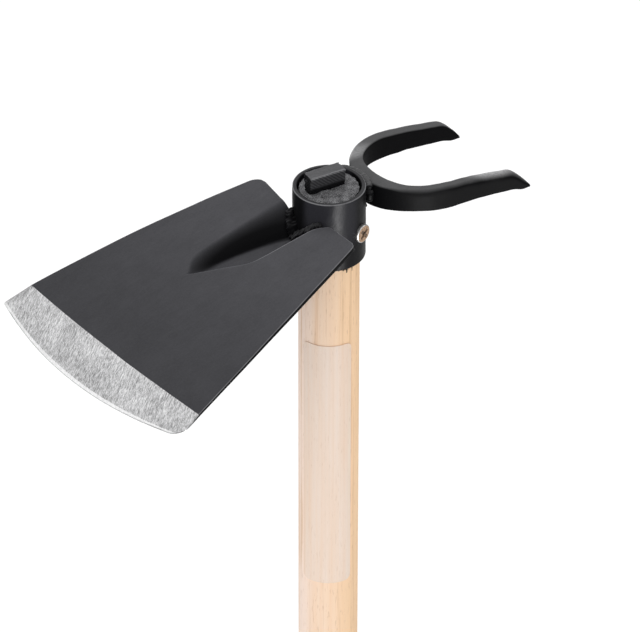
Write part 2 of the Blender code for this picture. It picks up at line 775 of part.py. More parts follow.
def side_path(side):
    """Points up the groove between the collar and one side of the fork's bend."""
    out = Vector((math.cos(FORK_SIDE_TURN), side * math.sin(FORK_SIDE_TURN), 0))
    groove = out * (COLLAR_RADIUS + FORK_SIDE_OFF)
    step = (FORK_SIDE_HIGH_Z - FORK_SIDE_LOW_Z) / SIDE_BEAD_STEPS
    heights = [FORK_SIDE_LOW_Z + step * i for i in range(SIDE_BEAD_STEPS + 1)]
    return [Vector((groove.x, groove.y, z)) for z in heights]


def add_bead(name, path, radius, paint, cutters, upright=False):
    bead = add_object(name, loft(bead_rings(path, radius, upright)), paint)
    for cutter in cutters:
        subtract(bead, cutter)


def make_blade_welds(paint, collar_space):
    cutters = (collar_space, add_cutter("blade_space", blade_sheet(GAP)))
    upper = blade_path(UPPER_BEAD_LIFT, UPPER_BEAD_SPAN)
    add_bead("blade_weld_upper", upper, UPPER_BEAD_RADIUS, paint, cutters)
    under = blade_path(-BLADE_REAR_THICKNESS - UNDER_BEAD_LIFT, UNDER_BEAD_SPAN)
    add_bead("blade_weld_under", under, UNDER_BEAD_RADIUS, paint, cutters)


def make_fork_welds(paint, collar_space):
    cutters = (collar_space, add_cutter("fork_space", loft(fork_rings(GAP))))
    for name, column, lift in (("fork_weld_upper", 1, FORK_ARC_LIFT), ("fork_weld_under", 2, -FORK_ARC_LIFT)):
        add_bead(name, fork_path(column, lift), FORK_ARC_RADIUS, paint, cutters)
    for name, side in (("fork_weld_left", 1), ("fork_weld_right", -1)):
        add_bead(name, side_path(side), FORK_SIDE_RADIUS, paint, cutters, upright=True)


def make_welds():
    """The beads that hold the blade and the fork to the collar, clear of all three."""
    paint = material("weld_paint", (0.030, 0.030, 0.032), 0.45)
    low, high = COLLAR_RIM_Z - 2 * COLLAR_HEIGHT, COLLAR_RIM_Z + COLLAR_HEIGHT
    sides = 2 * COLLAR_SIDES
    plug = loft([circle(COLLAR_RADIUS + GAP, low, sides), circle(COLLAR_RADIUS + GAP, high, sides)])
    collar_space = add_cutter("collar_space", plug)
    make_blade_welds(paint, collar_space)
    make_fork_welds(paint, collar_space)


def main():
    clear_scene()
    make_handle()
    make_wedge()
    make_collar()
    make_screw()
    make_blade()
    make_fork()
    make_welds()
    make_label()


main()
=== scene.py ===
"""Looks of the combination hoe: finer pieces, materials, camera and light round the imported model.

Everything is in metres in the model's own frame: +Z up the handle, +X towards the fork and
-X towards the blade. The sizes of the pieces repeat those of the model's source.
"""
from math import copysign, cos, hypot, pi, radians, sin, sqrt

import bmesh
import bpy
from mathutils import Matrix, Vector, noise


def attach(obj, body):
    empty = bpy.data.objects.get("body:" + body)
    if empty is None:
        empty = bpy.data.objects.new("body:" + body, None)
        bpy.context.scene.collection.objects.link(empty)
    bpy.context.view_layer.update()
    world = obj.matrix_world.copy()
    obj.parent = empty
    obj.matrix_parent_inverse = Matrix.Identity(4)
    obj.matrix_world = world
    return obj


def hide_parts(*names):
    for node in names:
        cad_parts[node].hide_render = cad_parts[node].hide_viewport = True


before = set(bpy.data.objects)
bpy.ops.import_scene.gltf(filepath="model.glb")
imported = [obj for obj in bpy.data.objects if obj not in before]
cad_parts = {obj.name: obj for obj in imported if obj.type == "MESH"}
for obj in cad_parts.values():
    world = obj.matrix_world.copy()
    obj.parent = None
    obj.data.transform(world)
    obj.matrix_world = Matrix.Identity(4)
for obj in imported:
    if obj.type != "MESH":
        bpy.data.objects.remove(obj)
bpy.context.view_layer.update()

# Camera, as fitted to the collar's rim, the blade, the fork and the handle
IMAGE_WIDTH = 640
FOCAL_PIXELS = 5602
SENSOR_WIDTH = 36.0
CAMERA_AZIMUTH = radians(-38.13)
CAMERA_ELEVATION = radians(35.26)
CAMERA_ROLL = radians(0.09)
CAMERA_DISTANCE = 3.193
AIM_RIGHT = -0.0051
AIM_UP = -0.0748

# Clearance round the wedge, and the least distance between lines that mustn't meet
GAP = 0.0003

# Unevenness of surfaces: (scale, height, seed) for each size of lump, a weld's height as a share
END_GRAIN_LUMPS = ((900, 0.00035, 0.0), (250, 0.0004, 5.0))
WEDGE_SIDE_LUMPS = ((420, 0.00022, 0.0),)
WEDGE_END_LUMPS = ((650, 0.0007, 3.0),)
WEDGE_TOP_LUMPS = ((380, 0.0003, 7.0),)
TUBE_LUMPS = ((95, 0.00016, 0.0), (400, 0.00005, 2.0))
PLATE_LUMPS = ((38, 0.00022, 0.0), (120, 0.00006, 4.0))
FORGED_LUMPS = ((130, 0.00022, 0.0), (420, 0.00006, 6.0))
WELD_LUMPS = ((260, 0.16, 0.0), (800, 0.10, 0.0))

# Corners of a square, once round
SQUARE = ((-1, -1), (1, -1), (1, 1), (-1, 1))
UP = (0.0, 0.0, 1.0)

# Handle
HANDLE_LENGTH = 1.300
HANDLE_HEAD_RADIUS = 0.01775
HANDLE_GRIP_RADIUS = 0.01425
TAPER_TOP_Z = 1.000
TAPER_BOTTOM_Z = 0.500
BUTT_FLAT_RADIUS = 0.0085
BUTT_ROUND_HEIGHT = 0.009
HANDLE_SIDES = 96
HANDLE_LEVELS = 60
BUTT_STEPS = 14
END_CHIP = 0.0007
END_CHIP_LEAST = 0.0002
END_CHIP_CHANGE = 1.2
END_CHIP_SCALE = 700
END_GRAIN_STEPS = 14
END_GRAIN_SPREAD = 0.8
END_GRAIN_Z = HANDLE_LENGTH - 4 * END_CHIP
SLOT_LIP = 0.001

# Collar
RIM_Z = 1.3015
COLLAR_HEIGHT = 0.046
COLLAR_RADIUS = 0.0212
COLLAR_WALL = 0.0026
COLLAR_EDGE = 0.0006
COLLAR_SIDES = 144
COLLAR_LEVELS = 30
COLLAR_CORNER_STEPS = 4
# Painted highlight on the rim's outer edge: its share, and the level where it starts
COLLAR_RIM_HIGHLIGHT = 0.8
COLLAR_RIM_HIGHLIGHT_Z = RIM_Z - 0.7 * COLLAR_EDGE
COLLAR_SUNK = 0.0001

# Wedge
WEDGE_LENGTH = 0.0228
WEDGE_TOP_WIDTH = 0.0086
WEDGE_TIP_WIDTH = 0.0016
WEDGE_TOP_Z = RIM_Z + 0.0093
WEDGE_TIP_Z = RIM_Z - 0.0210
WEDGE_CENTRE = (-0.0018, 0.0018)
WEDGE_TURN = radians(-8.5)
WEDGE_EDGE = 0.0004
WEDGE_BREAK = 0.3 * WEDGE_EDGE
WEDGE_TIP_BREAK = 0.00035
WEDGE_STEPS = (40, 14)
WEDGE_LEVELS = 34
WEDGE_TOP_SHARES = (0.90, 0.72, 0.5, 0.28, 0.08)
WEDGE_TOP_DRAW = 0.7
WEDGE_RIB_HEIGHT = 0.00010
WEDGE_RIB_WAVE = 5200
WEDGE_TORN = 0.0006
# Painted highlight on the wedge's near top edge: its share, width and height
WEDGE_EDGE_HIGHLIGHT = 0.9
WEDGE_EDGE_HIGHLIGHT_WIDTH = 2 * WEDGE_EDGE
WEDGE_EDGE_HIGHLIGHT_HEIGHT = 1.2 * WEDGE_EDGE

# Blade
BLADE_REAR_THICKNESS = 0.0034
BLADE_FRONT_THICKNESS = 0.0020
BLADE_REAR_X = -0.0160
BLADE_REAR_Z = RIM_Z - 0.0109
BLADE_FALL = 0.215
BLADE_BOW = 0.35
BLADE_REAR_HALF_WIDTH = 0.0444
BLADE_FLARE = 0.295
BLADE_FLARE_EASE = 0.30
REAR_CORNER_FAR = 0.0065
REAR_CORNER_NEAR = 0.0030
REAR_CORNER_ROWS = (0.0, 0.0009, 0.0020, 0.0034, 0.0050, 0.0065)
BLADE_ROWS = 64
GROUND_START = 0.1395
GROUND_START_SAG = 0.0020
EDGE_REACH = 0.1662
EDGE_SAG = 0.0120
EDGE_SKEW = 0.010
EDGE_SPAN = 0.0830
EDGE_CORNER_FAR = 0.0012
EDGE_CORNER_NEAR = 0.0085
EDGE_THICKNESS = 0.0004
COLLAR_TO_BLADE = 0.0010
BLADE_BREAK = 0.0005
# Painted highlights on the blade's near rim and near lip
HIGHLIGHT_RIM = 0.7
HIGHLIGHT_RIM_Y = -0.0150
HIGHLIGHT_LIP_WIDTH = 0.0007
HIGHLIGHT_LIP_X = -0.0650
HIGHLIGHT_FADE = 0.0100
HONED_WIDTH = 0.0022
GROUND_ROWS = 12
# Along the blade's sides, from the rear edge to the ground band and to the cutting edge
PAINTED_END = GROUND_START - GROUND_START_SAG
EDGE_END = EDGE_REACH - EDGE_SAG
BLADE_BREAK_SHARE = 0.42
BLADE_BREAK_TURNS = (0, 30, 60, 90)
SLOPE_STEP = 0.0001
LEAST_UPWARD = 0.2

# Trough pressed into the blade
TROUGH_TIP_X = -0.0918
TROUGH_TIP_Y = 0.0118
TROUGH_TIP_LENGTH = 0.0155
TROUGH_TIP_DROP = 0.0062
TROUGH_FALL = 0.156
TROUGH_CREST_Y = 0.0225
TROUGH_CREST_RUN = 0.054
TROUGH_FAR_FOOT_Y = 0.0135
TROUGH_FOOT_BEND_X = -0.0800
TROUGH_FOOT_BEND = 3.15
TROUGH_NEAR_FOOT_Y = -0.0015
TROUGH_LIP_X = -0.0635
TROUGH_LIP_Y = -0.0105
TROUGH_LIP_FALL = 0.79
TROUGH_LIP_RUN = 0.110
TROUGH_LIP_TURN = 0.0040
TROUGH_FLARE_X = -0.0260
TROUGH_FLARE = 0.0055
TROUGH_LEAST_RISE = 0.0006
TROUGH_WALL_CURVE = 0.72
TROUGH_CREST_ROUND = 0.0008
TROUGH_LIP_BAND = 0.18
TROUGH_CREST_BAND = 0.30
TROUGH_LIP_ROUND = 0.0008
TROUGH_LIP_CURVE = 0.90
TROUGH_LIP_SOFT_X = -0.0760
TROUGH_LIP_SOFT_RUN = 0.0160
TROUGH_FOOT_ROUND = 0.0016
TROUGH_ROUND_SHARE = 0.40
TROUGH_COLUMNS = (18, 8, 12, 12, 14, 12, 20)
LEAST_COLUMN = 0.00009
REAR_DRAW = 0.0030
REAR_DRAW_START_Y = 0.0420
REAR_DRAW_END_Y = 0.0210

# Fork
FORK_BEND_X = 0.0662
FORK_HALF_SPAN = 0.0323
FORK_OFF_COLLAR = 0.0023
FORK_BASE_WIDTH = 0.0100
FORK_TINE_WIDTH = 0.0074
FORK_WIDTH_POWER = 7.0
FORK_BEND_POWER = 0.94
FORK_BEND_STEPS = 72
FORK_TINE_STEPS = 40
FORK_TIP_X = 0.1200
FORK_CORNER = 0.0013
FORK_ROUNDED = 0.0042
FORK_ROUNDED_SHARE = 0.62
FORK_ROUNDED_START_Y = -0.0120
FORK_ROUNDED_RUN = 0.0160
FORK_CORNER_SHARE = 0.45
FORK_CORNER_STEPS = 7
FORK_FLAT_STEPS = 4
# Along X, how far the fork's upper and lower faces are below the collar's rim
FORK_PROFILE = (
    (0.0210, 0.0036, 0.0212),
    (0.0400, 0.0063, 0.0200),
    (0.0620, 0.0080, 0.0224),
    (0.0810, 0.0114, 0.0243),
    (0.1085, 0.0182, 0.0294),
    (0.1150, 0.0238, 0.0322),
    (0.1200, 0.0302, 0.0320),
)
FORK_SMOOTHING = 0.0022
FORK_SMOOTHING_STEPS = (-1.0, -0.5, 0.0, 0.5, 1.0)
FORK_RUN_STEP = 0.01
FORK_TOP = 1
FORK_BOTTOM = 2

# Fixing screw
SCREW_Z = RIM_Z - 0.0260
SCREW_TURN = radians(14)
SCREW_OFFSET = 0.0031
SCREW_HEAD_RADIUS = 0.0056
SCREW_HEAD_HEIGHT = 0.0020
SCREW_SHANK_RADIUS = 0.0023
SCREW_LENGTH = 0.0240
SCREW_TIP_LENGTH = 0.0050
SCREW_TIP_RADIUS = 0.0002
SCREW_HEAD_RIM = 0.60
SCREW_CROWN_HEIGHT = SCREW_HEAD_HEIGHT * (1 - SCREW_HEAD_RIM)
SCREW_FACE = 0.90
SCREW_CROWN_POWER = 0.4
SCREW_SIDES = 72
RECESS_TURN = radians(40)
RECESS_LENGTH = 0.0078
RECESS_FLOOR_LENGTH = 0.0036
RECESS_WIDTH = 0.0021
RECESS_DEPTH = 0.0014
SCREW_SUNK = 0.0001
SCREW_CROWN_STEPS = 16
RECESS_REACH = 0.55 * RECESS_LENGTH
RECESS_LEAST_DEPTH = 0.00012

# Weld beads, with half their span round the collar in degrees
UPPER_BEAD_RADIUS = 0.0042
UPPER_BEAD_LIFT = 0.0020
UPPER_BEAD_SPAN = 36
UNDER_BEAD_RADIUS = 0.0021
UNDER_BEAD_LIFT = 0.0020
UNDER_BEAD_SPAN = 30
BLADE_BEAD_OFF = 0.0016
BLADE_BEAD_MIDDLE = 186
FORK_ARC_RADIUS = 0.0026
FORK_ARC_OFF = 0.0016
FORK_UPPER_SPAN = 36
FORK_UPPER_LIFT = 0.0010
FORK_UNDER_RADIUS = 0.0012
FORK_UNDER_LIFT = 0.0010
FORK_UNDER_SPAN = 17
FORK_SIDE_RADIUS = 0.0029
FORK_SIDE_OFF = 0.0022
FORK_SIDE_TURN = radians(26)
FORK_SIDE_LOW_Z = RIM_Z - 0.0140
FORK_SIDE_HIGH_Z = RIM_Z - 0.0075
ARC_BEAD_STEPS = 120
SIDE_BEAD_STEPS = 30
BEAD_END_SIZE = 0.45
BEAD_END_POWER = 0.5
BEAD_RIPPLE = 0.03
BEAD_PITCH = 0.0048
BEAD_SIDES = 28
BLADE_BEAD_LUMPS = 2.3
BEAD_DEEPEST = COLLAR_RADIUS - 0.0010
BEAD_SEED = 11.0

# Colours, as linear values
WOOD_PALE = (0.970, 0.760, 0.600)
WOOD_DEEP = (0.930, 0.670, 0.480)
WOOD_WARM = (0.990, 0.690, 0.430)
WOOD_LIT_PINK = (0.985, 0.820, 0.730)
WOOD_FLECK = (0.560, 0.340, 0.200)
WOOD_STREAK = (0.700, 0.440, 0.240)
FILM_PALE = (1.000, 0.845, 0.735)
FILM_DEEP = (0.985, 0.770, 0.610)
END_GRAIN_DARK = (0.020, 0.020, 0.021)
END_GRAIN_LIGHT = (0.290, 0.290, 0.300)
PAINT_DARK = (0.005, 0.005, 0.0056)
# From here to the welds' greys: painted light on faces that look up or to the front, painted highlights on
# edges, and painted light on two stretches of the fork
COLLAR_TOP_LIGHT = (0.070, 0.070, 0.074)
COLLAR_WALL_LIGHT = (0.026, 0.026, 0.031)
WEDGE_TOP_LIGHT = (0.250, 0.250, 0.260)
WEDGE_WALL_LIGHT = (0.056, 0.056, 0.060)
EDGE_HIGHLIGHT = (0.220, 0.220, 0.230)
BLADE_TOP_LIGHT = (0.127, 0.1268, 0.1385)
BLADE_EDGE_HIGHLIGHT = (0.240, 0.240, 0.250)
FORK_TOP_LIGHT = (0.205, 0.205, 0.209)
FORK_WALL_LIGHT = (0.014, 0.014, 0.0145)
FORK_PALE_LIGHT = (0.480, 0.480, 0.485)
WELD_TOP_LIGHT = (0.062, 0.062, 0.065)
FORK_WELD_TOP_LIGHT = (0.190, 0.190, 0.194)
STEEL_DARK = (0.085, 0.085, 0.086)
STEEL_LIGHT = (0.470, 0.470, 0.474)
HONED_DARK = (0.380, 0.380, 0.382)
HONED_LIGHT = (0.500, 0.500, 0.503)
ZINC = (0.560, 0.550, 0.540)
ZINC_DULL = (0.250, 0.245, 0.240)
FACE_TAN = (0.560, 0.370, 0.240)
FACE_BROWN = (0.300, 0.180, 0.100)
RECESS_BROWN = (0.035, 0.016, 0.008)
FLOOR_COLOUR = (0.82, 0.82, 0.82)

# Noises: scale, or one along each axis, then detail and roughness
CLOUDS = (55, 6.0, 0.6)
SPECKS = (900, 3.0, 0.6)
STREAKS = ((60, 420, 420), 4.0, 0.55)
GRIT = (700, 3.0, 0.6)
END_PORES = ((1500, 1500, 450), 3.0, 0.65)
END_PATCHES = (230, 4.0, 0.55)
WOOD_GRAIN = ((260, 260, 7), 5.0, 0.6)
WOOD_BANDS = ((70, 70, 1.6), 3.0, 0.55)
WOOD_FLECKS = ((1300, 1300, 170), 2.0, 0.55)
WOOD_STREAKS = ((420, 420, 9), 4.0, 0.6)
PAINT_RUNS = ((480, 480, 90), 4.0, 0.65)
SCRATCHES = ((260, 1500, 260), 4.0, 0.72)
FINE_SCRATCHES = ((700, 2900, 700), 2.0, 0.55)
STEEL_PATCHES = (60, 3.0, 0.55)
ZINC_CLOUDS = (700, 4.0, 0.55)
FACE_CLOUDS = (1100, 4.0, 0.55)
RECESS_CLOUDS = (1500, 4.0, 0.55)
FILM_CREASES = ((90, 90, 25), 3.0, 0.55)
RIB_SCALE = 330.0
RIB_DISTORTION = 1.5

# Shares of noises in a mixture
PAINT_MOTTLE = (0.30, 0.22, 0.12)
PAINT_RELIEF = (0.7, 0.3)
RIB_RELIEF = 0.4
END_STIPPLE = (0.65, 0.35)
STEEL_TONE = (0.55, 0.30, 0.15)

# Spans: from one value to another, and then the results at both where they aren't 0 and 1
NOISE_SPREAD = (0.3, 0.7)
MOTTLE_LIFT = (0.20, 0.44, 0.78, 1.15)
HIGHLIGHT_PATCHY = (0.22, 0.36, 0.5, 1.0)
GRIT_SHARE = (0.3, 0.6, 0.6, 1.0)
GROOVES = (0.35, 0.65, 0.50, 0.0)
END_TONE = (0.40, 0.62)
GRAIN_TONE = (0.35, 0.68)
BAND_TONE = (0.45, 0.75, 0.0, 0.35)
STREAK_TONE = (0.53, 0.68, 0.0, 0.60)
FLECK_TONE = (0.60, 0.72, 0.0, 0.38)
FILM_FLECK_TONE = (0.60, 0.72, 0.0, 0.18)
FLECK_RELIEF = (0.6, 0.8, 0.0, 0.4)
STEEL_SPREAD = (0.36, 0.62)
ZINC_SPREAD = (0.35, 0.65)
FACE_SPREAD = (0.40, 0.62)
RUN_SPREAD = (0.40, 0.62)

# The wood's tone and run paint, from -1 at the handle's left side as photographed to 1 at its right
WOOD_RIGHT = Vector((cos(CAMERA_AZIMUTH), sin(CAMERA_AZIMUTH), 0)) / HANDLE_HEAD_RADIUS
# Painted shade: warmer and darker towards the right side; painted light: pale pink towards the left
SHADED_WARM_SIDE = (-0.1, 0.8, 0.0, 0.85)
LIT_PINK_SIDE = (-0.35, -0.9, 0.0, 0.75)
RUN_LENGTH = (-0.6, 0.9, 0.0026, 0.0062)
RUN_TOP_Z = RIM_Z - COLLAR_HEIGHT - 0.0003
RUN_EDGE = 0.0001

# Painted light: a grey tone on faces that look up, and not towards -Y, as if lit from above and behind
PAINTED_LIGHT_WAY = Vector((0.20, 0.75, 0.63)).normalized()
PAINTED_LIGHT_FLAT = 0.48
PAINTED_LIGHT_AWAY = (-0.26, 0.44, 0.0, PAINTED_LIGHT_FLAT)
PAINTED_LIGHT_FACING = (0.70, 0.94, 0.0, 1 - PAINTED_LIGHT_FLAT)
PAINTED_LIGHT_UPWARD = (0.25, 0.50)
PAINTED_LIGHT_ALONG_X = (-0.135, -0.040, 0.78, 1.15)

# Painted light on walls that face the front, and where it stops: painted shade at the collar's foot, the
# wedge's foot and the fork's root
WALL_WAY = (-0.58, -0.815, 0.0)
WALL_FACING = (0.60, 0.84)
COLLAR_WALL_LIGHT_Z = (RIM_Z - 0.0370, RIM_Z - 0.0220, 0.15, 1.0)
WEDGE_FOOT_Z = (WEDGE_TOP_Z - 0.0085, WEDGE_TOP_Z - 0.0062, 1.0, 0.0)
NEAR_ARM_Y = (0.0, -0.0200)
ROOT_SHADE_X = (0.0280, 0.0430)

# Stretches of the fork with painted light, a painted highlight along the near tine: (middle, half size)
PALE_TINE = ((0.0970, -0.0275, RIM_Z - 0.0140), (0.0270, 0.0090, 0.0150))
PALE_BEND = ((0.0350, 0.0260, RIM_Z - 0.0050), (0.0230, 0.0100, 0.0105))
PALE_FADE = (1.0, 0.25)
PALE_UPWARD = (0.05, 1.0)

# Specular levels, depth of relief, and how much roughness changes with a surface's noise
PAINT_SPECULAR = 0.07
PAINT_DEPTH = 0.00025
WELD_SPECULAR = 0.03
PAINT_ROUGHER = (-0.05, 0.08)
STEEL_ROUGHER = (0.10, -0.05)
SCRATCH_TURN = radians(33)
FILM_COVER = 0.85

# Light
WORLD_LIGHT = 0.62
BACKGROUND_WHITE = 1.0
FLOOR_GLOW = 0.22
FLOOR_HALF = 30.0
SUN_DISTANCE = 3.0
# Suns: name, direction from the collar's rim, strength, and width in degrees
SUNS = (
    ("overhead", (0.15, 0.55, 1.0), 0.95, 50),
    ("front", (-0.9, -0.7, 0.5), 0.95, 60),
    ("fill", (0.95, -0.45, 0.25), 0.28, 60),
)
STRIP_WAY = (-0.17, -1.0, -0.55)
STRIP_DISTANCE = 1.2
STRIP_POWER = 25.0
STRIP_SIZE = (0.32, 0.7)


# Mesh helpers


def unit(value):
    """A value held between 0 and 1."""
    return min(max(value, 0.0), 1.0)


def ease(fraction):
    """0 to 1 with a smooth start and end."""
    return 0.5 - 0.5 * cos(pi * unit(fraction))


def uneven(point, lumps, seed=0.0):
    """Height of a surface's lumps at a point, the same in each run."""
    height = 0.0
    for scale, amount, own_seed in lumps:
        shift = own_seed + seed
        height += amount * noise.noise(Vector(point) * scale + Vector((shift, 2 * shift, 3 * shift)))
    return height


def skin(bm, rows, once_round=True):
    """Faces between rows of vertices, and from the end of each row back to its start."""
    for near, far in zip(rows, rows[1:]):
        for i in range(len(near) if once_round else len(near) - 1):
            j = (i + 1) % len(near)
            bm.faces.new((near[i], near[j], far[j], far[i]))


def loft(rings, closed=False):
    """Skin a row of rings of points; the two end rings are capped unless it closes."""
    bm = bmesh.new()
    bm.verts.layers.float.new("painted_highlight")
    rows = [[bm.verts.new(point) for point in ring] for ring in rings]
    if closed:
        rows.append(rows[0])
    else:
        bm.faces.new(rows[0])
        bm.faces.new(rows[-1])
    skin(bm, rows)
    return bm


def parts(count):
    """Fractions from 0 to 1 in a number of equal steps."""
    return [i / count for i in range(count + 1)]


def arc(radius, start, degrees, steps):
    """Points along an arc about 0, 0, from a starting angle."""
    turns = [radians(start + degrees * part) for part in parts(steps)]
    return [(radius * cos(turn), radius * sin(turn)) for turn in turns]


def circle(radius, sides):
    return arc(radius, 0, 360, sides)[:-1]


def level_ring(radius, z):
    """One ring of the handle."""
    return [Vector((x, y, z)) for x, y in circle(radius, HANDLE_SIDES)]


def add_mesh(name, bm, materials, sharp=40):
    bmesh.ops.recalc_face_normals(bm, faces=bm.faces)
    mesh = bpy.data.meshes.new(name)
    bm.to_mesh(mesh)
    bm.free()
    for mat in materials:
        mesh.materials.append(mat)
    mesh.shade_smooth()
    mesh.set_sharp_from_angle(angle=radians(sharp))
    obj = bpy.data.objects.new(name, mesh)
    bpy.context.scene.collection.objects.link(obj)
    return obj


def dress(obj, slot, *nodes):
    """The piece rides on the hoe and stands for these nodes; slot is not used."""
    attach(obj, "root")
    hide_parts(*nodes)


# Material helpers


def new_material(name):
    """A material and its node tree."""
    mat = bpy.data.materials.new(name)
    mat.use_nodes = True
    return mat, mat.node_tree


def feed(tree, socket, value):
    """Set a socket to a number, a vector or a colour, or link it to another node's output."""
    if isinstance(value, bpy.types.NodeSocket):
        tree.links.new(value, socket)
    else:
        socket.default_value = (*value, 1.0) if socket.type == "RGBA" else value


def node(tree, kind, inputs=None, **settings):
    made = tree.nodes.new("ShaderNode" + kind)
    for key, value in settings.items():
        setattr(made, key, value)
    for key, value in (inputs or {}).items():
        feed(tree, made.inputs[key], value)
    return made


def calc(tree, operation, *terms, clamp=False):
    """Math on numbers or outputs, from the first term to the last."""
    total = terms[0]
    for term in terms[1:]:
        total = node(tree, "Math", {0: total, 1: term}, operation=operation, use_clamp=clamp).outputs[0]
    return total


def times(tree, *terms):
    return calc(tree, "MULTIPLY", *terms)


def weigh(tree, shares, *values):
    """The sum of some outputs, each times its share."""
    return calc(tree, "ADD", *[times(tree, value, share) for value, share in zip(values, shares)])


def vectors(tree, operation, a, b=(0, 0, 0), output="Vector"):
    return node(tree, "VectorMath", {0: a, 1: b}, operation=operation).outputs[output]


def place(tree):
    """Object coordinates, in metres."""
    return node(tree, "TexCoord").outputs["Object"]


def axis(tree, index):
    """One of the three object coordinates."""
    return node(tree, "SeparateXYZ", {0: place(tree)}).outputs[index]


def noise_of(tree, scale, detail, roughness, where=None):
    """Noise in object coordinates, or in those given."""
    where = where or place(tree)
    if isinstance(scale, tuple):
        where = vectors(tree, "MULTIPLY", where, scale)
        scale = 1.0
    inputs = {"Vector": where, "Scale": scale, "Detail": detail, "Roughness": roughness}
    return node(tree, "TexNoise", inputs).outputs["Fac"]


def span(tree, value, low, high, to_low=0.0, to_high=1.0, smooth=False):
    """Rescale a value from one span to another, held at its ends."""
    inputs = {"Value": value, "From Min": low, "From Max": high, "To Min": to_low, "To Max": to_high}
    kind = "SMOOTHSTEP" if smooth else "LINEAR"
    return node(tree, "MapRange", inputs, interpolation_type=kind).outputs[0]


def mix(tree, part, a, b):
    """Colour a where part is 0, b where it is 1."""
    return node(tree, "Mix", {0: part, 6: a, 7: b}, data_type="RGBA").outputs[2]


def surface(tree, colour, gloss, relief, depth, specular=0.5, metallic=0.0, alpha=1.0):
    """Join colour, roughness and relief to the shader, and set its even levels.

    gloss is a noise, and the roughness where it is low and where it is high.
    """
    source, at_low, at_high = gloss
    inputs = {
        "Base Color": colour,
        "Roughness": span(tree, source, *NOISE_SPREAD, at_low, at_high),
        "Normal": node(tree, "Bump", {"Distance": depth, "Height": relief}).outputs["Normal"],
        "Specular IOR Level": specular,
        "Metallic": metallic,
        "Alpha": alpha,
    }
    for key, value in inputs.items():
        feed(tree, tree.nodes["Principled BSDF"].inputs[key], value)


# Masks, from 0 where nothing changes to 1 where most does


def looking(tree, way):
    """1 on a face that looks along a direction, 0 on one square to it."""
    normal = node(tree, "NewGeometry").outputs["Normal"]
    return vectors(tree, "DOT_PRODUCT", normal, way, "Value")


def painted_light_mask(tree):
    """Painted light on faces that look up and away from the front."""
    toward = looking(tree, PAINTED_LIGHT_WAY)
    away = calc(tree, "ADD", span(tree, toward, *PAINTED_LIGHT_AWAY), span(tree, toward, *PAINTED_LIGHT_FACING))
    return times(tree, away, span(tree, looking(tree, UP), *PAINTED_LIGHT_UPWARD, smooth=True))


def blade_painted_light_mask(tree):
    """The blade's painted light fades towards the cutting edge."""
    return times(tree, painted_light_mask(tree), span(tree, axis(tree, 0), *PAINTED_LIGHT_ALONG_X))


def wall_mask(tree):
    """Upright faces towards the front, which take painted light."""
    return span(tree, looking(tree, WALL_WAY), *WALL_FACING, smooth=True)


def collar_wall_mask(tree):
    """The collar's wall with its painted light, dark again at its foot as painted shade under the blade."""
    return times(tree, wall_mask(tree), span(tree, axis(tree, 2), *COLLAR_WALL_LIGHT_Z, smooth=True))


def fork_wall_mask(tree):
    """The near arm's wall with its painted light, but not its root, which is left dark as painted shade
    beside the collar.
    """
    near = span(tree, axis(tree, 1), *NEAR_ARM_Y, smooth=True)
    return times(tree, wall_mask(tree), times(tree, near, span(tree, axis(tree, 0), *ROOT_SHADE_X, smooth=True)))


def patch_mask(tree, middle, half_size):
    """An egg-shaped patch that fades towards its rim."""
    shares = vectors(tree, "DIVIDE", vectors(tree, "SUBTRACT", place(tree), middle), half_size)
    return span(tree, vectors(tree, "LENGTH", shares, output="Value"), *PALE_FADE, smooth=True)


def fork_painted_light_mask(tree):
    """Painted light in two gritty stretches: a painted highlight along the near tine's top, and a pale patch
    on the far side of the bend's top.
    """
    tine = times(tree, patch_mask(tree, *PALE_TINE), span(tree, looking(tree, UP), *PALE_UPWARD))
    bend = times(tree, patch_mask(tree, *PALE_BEND), painted_light_mask(tree))
    grit = span(tree, noise_of(tree, *GRIT), *GRIT_SHARE)
    return times(tree, calc(tree, "ADD", tine, bend, clamp=True), grit)


def wedge_ribs(tree):
    """Height of the fine ribs that the saw left on the wedge."""
    inputs = {"Vector": place(tree), "Scale": RIB_SCALE, "Distortion": RIB_DISTORTION}
    return node(tree, "TexWave", inputs, bands_direction="DIAGONAL").outputs["Fac"]


def wedge_painted_shade_mask(tree):
    """Painted shade on the wedge's walls, between the ribs and at the foot."""
    steep = calc(tree, "SUBTRACT", 1.0, painted_light_mask(tree), clamp=True)
    grooves = span(tree, wedge_ribs(tree), *GROOVES)
    foot = span(tree, axis(tree, 2), *WEDGE_FOOT_Z, smooth=True)
    return times(tree, steep, calc(tree, "MAXIMUM", grooves, foot))


# Materials


